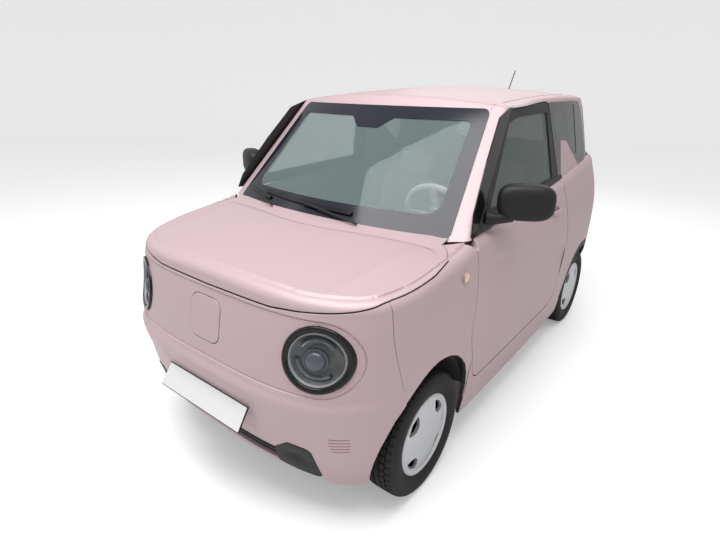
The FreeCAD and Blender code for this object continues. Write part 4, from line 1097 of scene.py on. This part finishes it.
def scoop(y, turn):
    """Outline of one opening of the wheel cover."""
    corners = [(102, -9, 8), (124, -17, 10), (149, -19, 12), (152, 0, 0), (149, 19, 12), (124, 17, 10),
               (102, 9, 8)]
    points = []
    for radius, spread_, rounding in corners:
        angle = math.radians(turn + spread_)
        points.append((y + radius * math.cos(angle), HUB_LEVEL + radius * math.sin(angle), rounding))
    return rounded(points, 5)


def build_wheels():
    for end, y in (("front", -AXLE), ("rear", AXLE)):
        for word, side in SIDES:
            place = "%s_%s" % (end, word)
            body, x = "road_wheel_" + place, side * WHEEL_X
            build_tyre("tyre_" + place, x, y, body)
            loops = [circle(y, HUB_LEVEL, COVER_RADIUS, 96)] + [scoop(y, 45 + 90 * k) for k in range(4)]
            cover = plate("cover_" + place, loops, 6.0, cover_face(x, y), side, SILVER, body, depth=16,
                          edge=2.0)
            barrel = lathe("barrel_" + place, [(172, -56), (172, -61), (156, -61), (143, -44), (143, 30), (20, 30),
                                               (20, 20), (64, 12), (64, -20), (30, -20), (30, -24), (72, -24),
                                               (72, 8), (138, 22), (138, -56), (172, -56)], (x, y, HUB_LEVEL),
                           (side, 0, 0), CHASSIS, body, 72)
            for piece in (cover, barrel):
                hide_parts("wheel_" + place)


# ---------------------------------------------------------------- headlamps

LAMP_TURNS = 72


def lamp_disc(name, side, profile, made, shift=(0.0, 0.0), span=(0, 360)):
    """Round piece over the nose at a lamp: profile of (radius, height over the body)."""
    x0, z0 = side * (LAMP_X + shift[0]), LAMP_LEVEL + shift[1]
    whole = span == (0, 360)
    count = LAMP_TURNS if whole else max(8, int(LAMP_TURNS * (span[1] - span[0]) / 360))
    turns = np.radians(np.linspace(span[0], span[1], count, endpoint=not whole))
    axis = surface_normals(NOSE.body, np.array([[float(NOSE.s_at_x(x0, z0)), z0]]), 1)[0]
    rows = []
    for radius, height in profile:
        x = x0 + radius * np.cos(turns) * side
        z = z0 + radius * np.sin(turns)
        s = NOSE.s_at_x(x, z)
        base = NOSE.body(s, z)
        base[:, 0] = x
        rows.append(base + axis * height)
    grid = np.array(rows)
    if side > 0:
        grid = grid[:, ::-1]
    return grid_object(name, grid, made, "chassis", loop_columns=whole, angle=50)


BAND_INNER, BAND_OUTER, BAND_FOOT = 299, 325, 186.0


def darken_arches():
    """Black paint on the body shell's faces in the wheel arches, and a black band under each rear arch.

    The band hides the shell, whose round arch stands lower than the arch of the panels.
    """
    node = NODES["body_shell"]
    node.data.materials.append(CHASSIS)
    for face in node.data.polygons:
        centre = node.matrix_world @ face.center / MM
        arch = math.hypot(centre.y - AXLE, centre.z - HUB_LEVEL) < 362 and abs(face.normal.x) < 0.5
        if arch or centre.y < -690:
            face.material_index = 1
    outer = [(y + math.copysign(7, y - AXLE), z + 5) for y, z in rear_arch_points()]
    inner = [(AXLE + BAND_INNER * math.cos(a), ARCH_LEVEL + BAND_INNER * math.sin(a))
             for a in np.linspace(0, math.pi, 45)]
    feet = [(AXLE + BAND_OUTER, BAND_FOOT), (AXLE + BAND_INNER, BAND_FOOT)]
    loop = [(AXLE - BAND_OUTER, BAND_FOOT)] + outer + feet + inner + [(AXLE - BAND_INNER, BAND_FOOT)]
    cover = plate("arch_cover_left", [to_body(TAIL, densify(loop, 12.0))], 12.0, TAIL.body, -1, CHASSIS, "chassis",
                  depth=1.0, lift=0.5, edge=0.1, closed=False)
    mirrored(cover, "arch_cover_right", "chassis")


def build_corners():
    """Rear pillar's flank between the side window and the tailgate, and lines of painted shade in the seams beside
    the hood.

    The flank also covers an opening that the solid of cabin_frame has there and the real car hasn't.
    """
    for word, side in SIDES:
        def cast(y, z, name):
            surface = skin_of((name,), lambda a, b: (side * 3000, a, b), Vector((-side, 0, 0)))
            return surface(np.full_like(z, y), z)[:, 0]
        levels = np.linspace(1150, 1500, 30)
        front, rear = cast(1040.0, levels, "cabin_frame"), cast(1190.0, levels, "tailgate")
        rows = []
        for share in np.linspace(0, 0.9, 8):
            x = front + (rear - front) * share ** 1.9
            rows.append(np.stack((x + side * 0.8, np.full_like(x, 1042 + 148 * share), levels), axis=-1))
        rows.append(rows[-1] - np.array((side * 20, 0, 0)))
        grid = np.array(rows)
        grid_object("corner_skin_" + word, grid[:, ::-1] if side > 0 else grid, PAINT, "chassis")
        # Thin tube in darkened body paint: painted shade in the seam beside each rear corner of the hood.
        path = [(690, -914), (680, -892), (662, -868), (640, -846), (622, -822)]
        tube("hood_seam_shade_" + word, [(side * x, y, float(hood_level(x, y)) - 0.4) for x, y in path], 1.7, SHADE,
             "chassis", 6, 3)


TAIL_LAMP_X, TAIL_LAMP_LEVEL = 452, 800


def build_tail_lamps():
    """Bezel and rings on each round tail lamp."""
    surface = skin_of(("tail_lamps",), lambda x, z: (x, 3000, z), Vector((0, -1, 0)))
    for word, side in SIDES:
        for name, radii, made, lift in (("bezel", (80, 71), GLOSS_BLACK, 2.5), ("ring", (60, 50), WHITE_LAMP, 1.6),
                                        ("core", (26,), WHITE_LAMP, 1.6)):
            loops = [circle(side * TAIL_LAMP_X, TAIL_LAMP_LEVEL, radius, 60) for radius in radii]
            plate("tail_%s_%s" % (name, word), loops, 9.0, surface, -1, made, "tailgate", depth=2, lift=lift,
                  edge=0.6, closed=False)


def build_cowl():
    """Panel in body colour between the hood and the windscreen, with a black strip at the glass."""
    screen = skin_of(("windscreen",), lambda x, z: (x, -3000, z), Vector((0, 1, 0)))
    xs = np.linspace(-628, 628, 43)
    rear = screen(xs, np.full_like(xs, 1054.0))
    front = np.interp(np.abs(xs), (0, 140, 280, 420, 560, 640), (-977, -966, -940, -912, -891.5, -893))
    rows = []
    for share in np.linspace(0, 1, 6):
        y = front + (rear[:, 1] + 10 - front) * share
        rows.append(np.stack((xs, y, hood_level(xs, y) - 1 + 7 * share), axis=-1))
    rows.insert(0, rows[0] - np.array((0, -1, 16)))
    strip = [rows[-1] + np.array((0, -12, 1.5)), rows[-1] + np.array((0, 8, 6))]
    for name, part, made in (("cowl_skin", rows[:7], PAINT), ("cowl_strip", strip, BLACK)):
        item = grid_object(name, np.array(part)[:, ::-1], made, "chassis")
        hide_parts("cowl")


LAMP_PIECES = (
    ("rim", GLOSS_BLACK, {}, [(117, -40), (117.6, 0), (116.5, 2.6), (112, 4.2), (101, 1.5), (97, -3), (96, -14),
                              (96, -46), (117, -46), (117, -40)]),
    ("bowl", LAMP_BOWL, {}, [(96.5, -12), (86, -22), (74, -34), (58, -42), (46, -44), (42, -40), (0.2, -40)]),
    ("ring", WHITE_LAMP, {}, [(95.5, -7), (94.5, -4.5), (91, -4), (89.5, -6), (89, -14), (95, -14), (95.5, -7)]),
    ("eye", EYE_GLASS, {"shift": (-6, -10)}, [(43, -40), (43, -26), (40, -24), (37, -25), (35, -18), (30, -12),
                                              (22, -8), (12, -6), (0.2, -5.5)]),
    ("brow", BROW, {"shift": (-2, 4), "span": (35, 150)}, [(66, -34), (66, -24), (62, -20), (57, -24), (57, -36)]),
    ("sole", BROW, {"span": (190, 310)}, [(76, -30), (75, -22), (70, -20), (65, -27), (65, -36)]),
    ("glass", LENS, {}, [(99, 0.5), (96, 4), (84, 7.5), (60, 10), (30, 11), (0.2, 11.3)]),
)


def build_lamps():
    pieces = [lamp_disc("lamp_%s_%s" % (name, word), side, profile, made, **placing)
              for word, side in SIDES for name, made, placing, profile in LAMP_PIECES]
    for piece in pieces:
        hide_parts("headlamps")


# ---------------------------------------------------------------- lower front

CORNER_PIECE = [(336, 330, 8), (405, 384, 22), (491, 376, 26), (504, 226, 12), (448, 236, 14), (362, 248, 10),
                (332, 256, 6)]


PLATE_PLACE = (0, -1533, 486)
PLATE_TILT = -33


def corner_relief(side):
    def relief(s, v, points):
        x, z = points[:, 0] * side, points[:, 2]
        hollow = np.exp(-square((x - 425) / 46) - square((z - 318) / 24))
        return 3.0 - 11.0 * hollow
    return relief


def build_lower_front():
    back = plate("grille_back", [front_loop(rectangle(-345, 250, 345, 334, 4), 14.0)], 14.0, NOSE.body, 1, SEAL,
                 "chassis", depth=40, lift=-28.0)
    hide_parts("lower_grille")
    for number, level in enumerate((272, 292, 312)):
        loop = front_loop(rectangle(-340, level - 4.5, 340, level + 4.5, 2), 12.0)
        bar = plate("grille_bar_%d" % number, [loop], 12.0, NOSE.body, 1, BLACK, "chassis", depth=26, lift=-7.0)
        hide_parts("lower_grille")
    for word, side in SIDES:
        corners = [(side * x, z, radius) for x, z, radius in CORNER_PIECE]
        piece = plate("grille_corner_" + word, [front_loop(corners, 7.0)], 7.0, NOSE.body, 1, BLACK, "chassis",
                      depth=30, relief=corner_relief(side), edge=3.0)
        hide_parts("lower_grille")
    loop = front_loop([(-356, 238, 4), (356, 238, 4), (338, 256, 4), (-338, 256, 4)], 9.0)
    lip = plate("bumper_lip", [loop], 9.0, NOSE.body, 1, PAINT, "chassis", depth=26, lift=1.0)
    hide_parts("front_bumper")
    tilt = Matrix.Translation(Vector(PLATE_PLACE) * MM) @ Matrix.Rotation(math.radians(PLATE_TILT), 4, "X")
    for name, low, high, made in (("plate_face", (-248, -3, -92), (248, 0, 2), PLATE),
                                  ("plate_frame", (-251.5, -1.2, -95.5), (251.5, 4, 5.5), GLOSS_BLACK)):
        piece = block(name, low, high, made, "chassis", 1.2, 2)
        piece.data.transform(tilt)
        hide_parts("number_plate")
    # Flat strips in darkened body paint, lifted off the skin: painted shade where the bumper has slits.
    for word, side in SIDES:
        for number, half in enumerate((30, 30, 30, 27, 24)):
            level = 450 - 15 * number
            corners = rectangle(side * 591 - half, level - 1.3, side * 591 + half, level + 1.3, 0)
            loop = front_loop(corners, 8.0)
            plate("bumper_slit_shade_%s_%d" % (word, number), [loop], 8.0, NOSE.body, 1, SHADE, "chassis", depth=2,
                  lift=0.5, edge=0.2)


# ---------------------------------------------------------------- glass borders and wipers

def screen_surface():
    """Face of the windscreen as a smooth surface over x and z that also runs past the glass."""
    skin = skin_of(("windscreen",), lambda x, z: (x, -3000, z), Vector((0, 1, 0)))
    x, z = (part.ravel() for part in np.meshgrid(np.linspace(-520, 520, 27), np.linspace(1060, 1480, 15)))

    def terms(x, z):
        a, b = np.ravel(x) / 600, (np.ravel(z) - 1250) / 250
        return np.stack((np.ones_like(a), b, b * b, b ** 3, a * a, a * a * b, a ** 4), axis=-1)
    fit = np.linalg.lstsq(terms(x, z), skin(x, z)[:, 1], rcond=None)[0]
    return lambda x, z: np.stack((np.ravel(x), terms(x, z) @ fit, np.ravel(z)), axis=-1)


def build_screen():
    surface = screen_surface()
    outer = rounded([(-632, 1030, 22), (632, 1030, 22), (549, 1508, 36), (-549, 1508, 36)], 8)
    inner = rounded([(-548, 1104, 46), (548, 1104, 46), (496, 1456, 30), (125, 1456, 24), (62, 1410, 30),
                     (-62, 1410, 30), (-125, 1456, 24), (-496, 1456, 30)], 8)
    plate("screen_border", [outer, inner], 15.0, surface, 1, BORDER, "chassis", depth=0.4, lift=2.2, edge=0.2)
    for number, (xa, za, xb, zb) in enumerate(((-575, 1072, -345, 1058), (-395, 1078, 185, 1064))):
        plate("wiper_blade_%d" % number, [[(xa, za), (xb, zb), (xb, zb + 12), (xa, za + 14)]], 12.0, surface, 1,
              GLOSS_BLACK, "chassis", depth=-3, lift=13.0, edge=1.0)
        middle = surface(np.array([(xa + xb) / 2]), np.array([(za + zb) / 2 + 6]))[0]
        root = surface(np.array([xb + 60.0]), np.array([1046.0]))[0]
        arm = [tuple(middle + np.array((0, -18, 8))), tuple((middle + root) / 2 + np.array((0, -26, 10))),
               tuple(root + np.array((0, -26, 2)))]
        tube("wiper_arm_%d" % number, arm, 5.0, BLACK, "chassis")


# ---------------------------------------------------------------- mirrors

MIRROR_TURN = 28.0


def build_mirrors():
    for word, side in SIDES:
        body = "door_" + word
        turn = Matrix.Rotation(math.radians(MIRROR_TURN * side), 4, "Z")
        head = bulb("mirror_head_" + word, (side * 828, -536, 1168), (112, 50, 74), 3.3, BLACK, body, turn, 56)
        face = bulb("mirror_face_" + word, (side * 813, -504, 1168), (98, 18, 62), 4.0, CHROME, body, turn, 40)
        bar = [(side * 704, -634, 1104), (side * 742, -610, 1102), (side * 790, -568, 1108)]
        arm = tube("mirror_arm_" + word, bar, (26.0, 21.0), BLACK, body, 14)
        foot = rounded([(-698, 1062, 8), (-540, 1090, 12), (-592, 1168, 14)], 5)
        sail = plate("mirror_sail_" + word, [foot], 10.0, cabin_side(side), side, BLACK, body, depth=12, lift=4.0,
                     edge=3.0)
        for piece in (head, face, arm, sail):
            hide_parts("mirror_" + word)


# ---------------------------------------------------------------- side details

HANDLE_X, HANDLE_HALF = 757, 9


def build_side_details():
    belt = rounded([(-600, 1092, 3), (60, 1114, 3), (398, 1122, 3), (412, 1129, 3), (397, 1142, 3),
                    (-590, 1112, 3)], 3)
    for word, side in SIDES:
        body = "door_" + word
        strip = plate("belt_strip_" + word, [belt], 12.0, cabin_side(side), side, BLACK, body, depth=8, lift=7.0,
                      edge=2.0)
        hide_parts("door_" + word)
        low, high = side * HANDLE_X - HANDLE_HALF, side * HANDLE_X + HANDLE_HALF
        block("handle_" + word, (low, 158, 958), (high, 272, 984), PAINT, body, 8.0, 4)
        # Flat dark bulb in darkened body paint: painted shade of the pocket behind the handle.
        bulb("handle_pocket_shade_" + word, (side * 741, 212, 972), (13, 62, 30), 2.6, SHADE, body)
        bulb("side_marker_" + word, (side * 747, -854, 920), (9, 20, 20), 2.4, AMBER, "chassis")
        lathe("side_marker_ring_" + word, [(22, -4), (24, 6), (21, 8), (18, 4), (18, -4)],
              (side * 745.5, -854, 920), (side, 0, 0), PAINT, "chassis", 40)


build_side_covers()
darken_arches()
build_cowl()
build_wheels()
line_cabin()
build_seats()
build_dash_details()
build_rear_details()
build_roof_seams()
build_corners()
build_tail_lamps()
build_lamps()
build_lower_front()
build_screen()
build_mirrors()
build_side_details()


# ---------------------------------------------------------------- stage


def backdrop():
    """Large pale floor that rises behind the car."""
    turns = [math.radians(90 * k / 12) for k in range(13)]
    bend = [(12 + 4 * math.sin(turn), 4 - 4 * math.cos(turn)) for turn in turns]
    profile = [(-14, 0.0)] + bend + [(16, 12)]
    verts = [(x, y, z) for y, z in profile for x in (-16, 16)]
    faces = [(2 * k, 2 * k + 1, 2 * k + 3, 2 * k + 2) for k in range(len(profile) - 1)]
    mesh = bpy.data.meshes.new("floor")
    mesh.from_pydata(verts, [], faces)
    for face in mesh.polygons:
        face.use_smooth = True
    floor = bpy.data.objects.new("floor", mesh)
    bpy.context.scene.collection.objects.link(floor)
    made = material("floor_pale", colour(0.80, 0.80, 0.80), rough=0.9, specular=0.1)
    tree = made.node_tree
    path = tree.nodes.new("ShaderNodeLightPath")
    share = tree.nodes.new("ShaderNodeMath")
    share.operation = "MULTIPLY"
    share.inputs[1].default_value = 0.26
    shader = tree.nodes["Principled BSDF"]
    shader.inputs["Emission Color"].default_value = colour(1, 1, 1)
    tree.links.new(path.outputs["Is Camera Ray"], share.inputs[0])
    tree.links.new(share.outputs[0], shader.inputs["Emission Strength"])
    mesh.materials.append(made)
    floor.rotation_euler = (0, 0, math.radians(38))


def area_light(name, place, aim, size, watts):
    lamp = bpy.data.lights.new(name, "AREA")
    lamp.shape = "RECTANGLE"
    lamp.size, lamp.size_y = size
    lamp.energy = watts
    holder = bpy.data.objects.new(name, lamp)
    holder.location = place
    holder.rotation_euler = (Vector(aim) - Vector(place)).to_track_quat("-Z", "Y").to_euler()
    bpy.context.scene.collection.objects.link(holder)


def world_light(strength):
    world = bpy.data.worlds.new("studio")
    bpy.context.scene.world = world
    world.use_nodes = True
    sky = world.node_tree.nodes["Background"]
    sky.inputs["Color"].default_value = colour(1, 1, 1)
    sky.inputs["Strength"].default_value = strength


CAMERA_PLACE = Vector((1.457, -2.433, 1.593))
CAMERA_YAW = math.radians(127.69)
CAMERA_PITCH = math.radians(-21.01)
CAMERA_ROLL = math.radians(0.75)
CAMERA_LENS = 23.88


def photo_camera():
    look = Vector((math.cos(CAMERA_PITCH) * math.cos(CAMERA_YAW), math.cos(CAMERA_PITCH) * math.sin(CAMERA_YAW),
                   math.sin(CAMERA_PITCH)))
    right = look.cross(Vector((0, 0, 1))).normalized()
    up = right.cross(look)
    turned_right = right * math.cos(CAMERA_ROLL) + up * math.sin(CAMERA_ROLL)
    turned_up = up * math.cos(CAMERA_ROLL) - right * math.sin(CAMERA_ROLL)
    data = bpy.data.cameras.new("photo_camera")
    data.lens = CAMERA_LENS
    data.sensor_width = 36
    camera = bpy.data.objects.new("photo_camera", data)
    turn = Matrix((turned_right, turned_up, -look)).transposed().to_4x4()
    camera.matrix_world = Matrix.Translation(CAMERA_PLACE) @ turn
    bpy.context.scene.collection.objects.link(camera)
    bpy.context.scene.camera = camera


backdrop()
area_light("key", (0.2, -1.9, 4.5), (0, -1.3, 0.8), (4.0, 2.4), 205)
area_light("fill", (-3.6, -3.4, 3.2), (0, -0.3, 0.7), (4, 3), 25)
area_light("rear", (-1.0, 4.4, 3.6), (0, 0.6, 0.9), (4, 3), 40)
world_light(0.70)
photo_camera()
bpy.context.scene.view_settings.view_transform = "Standard"
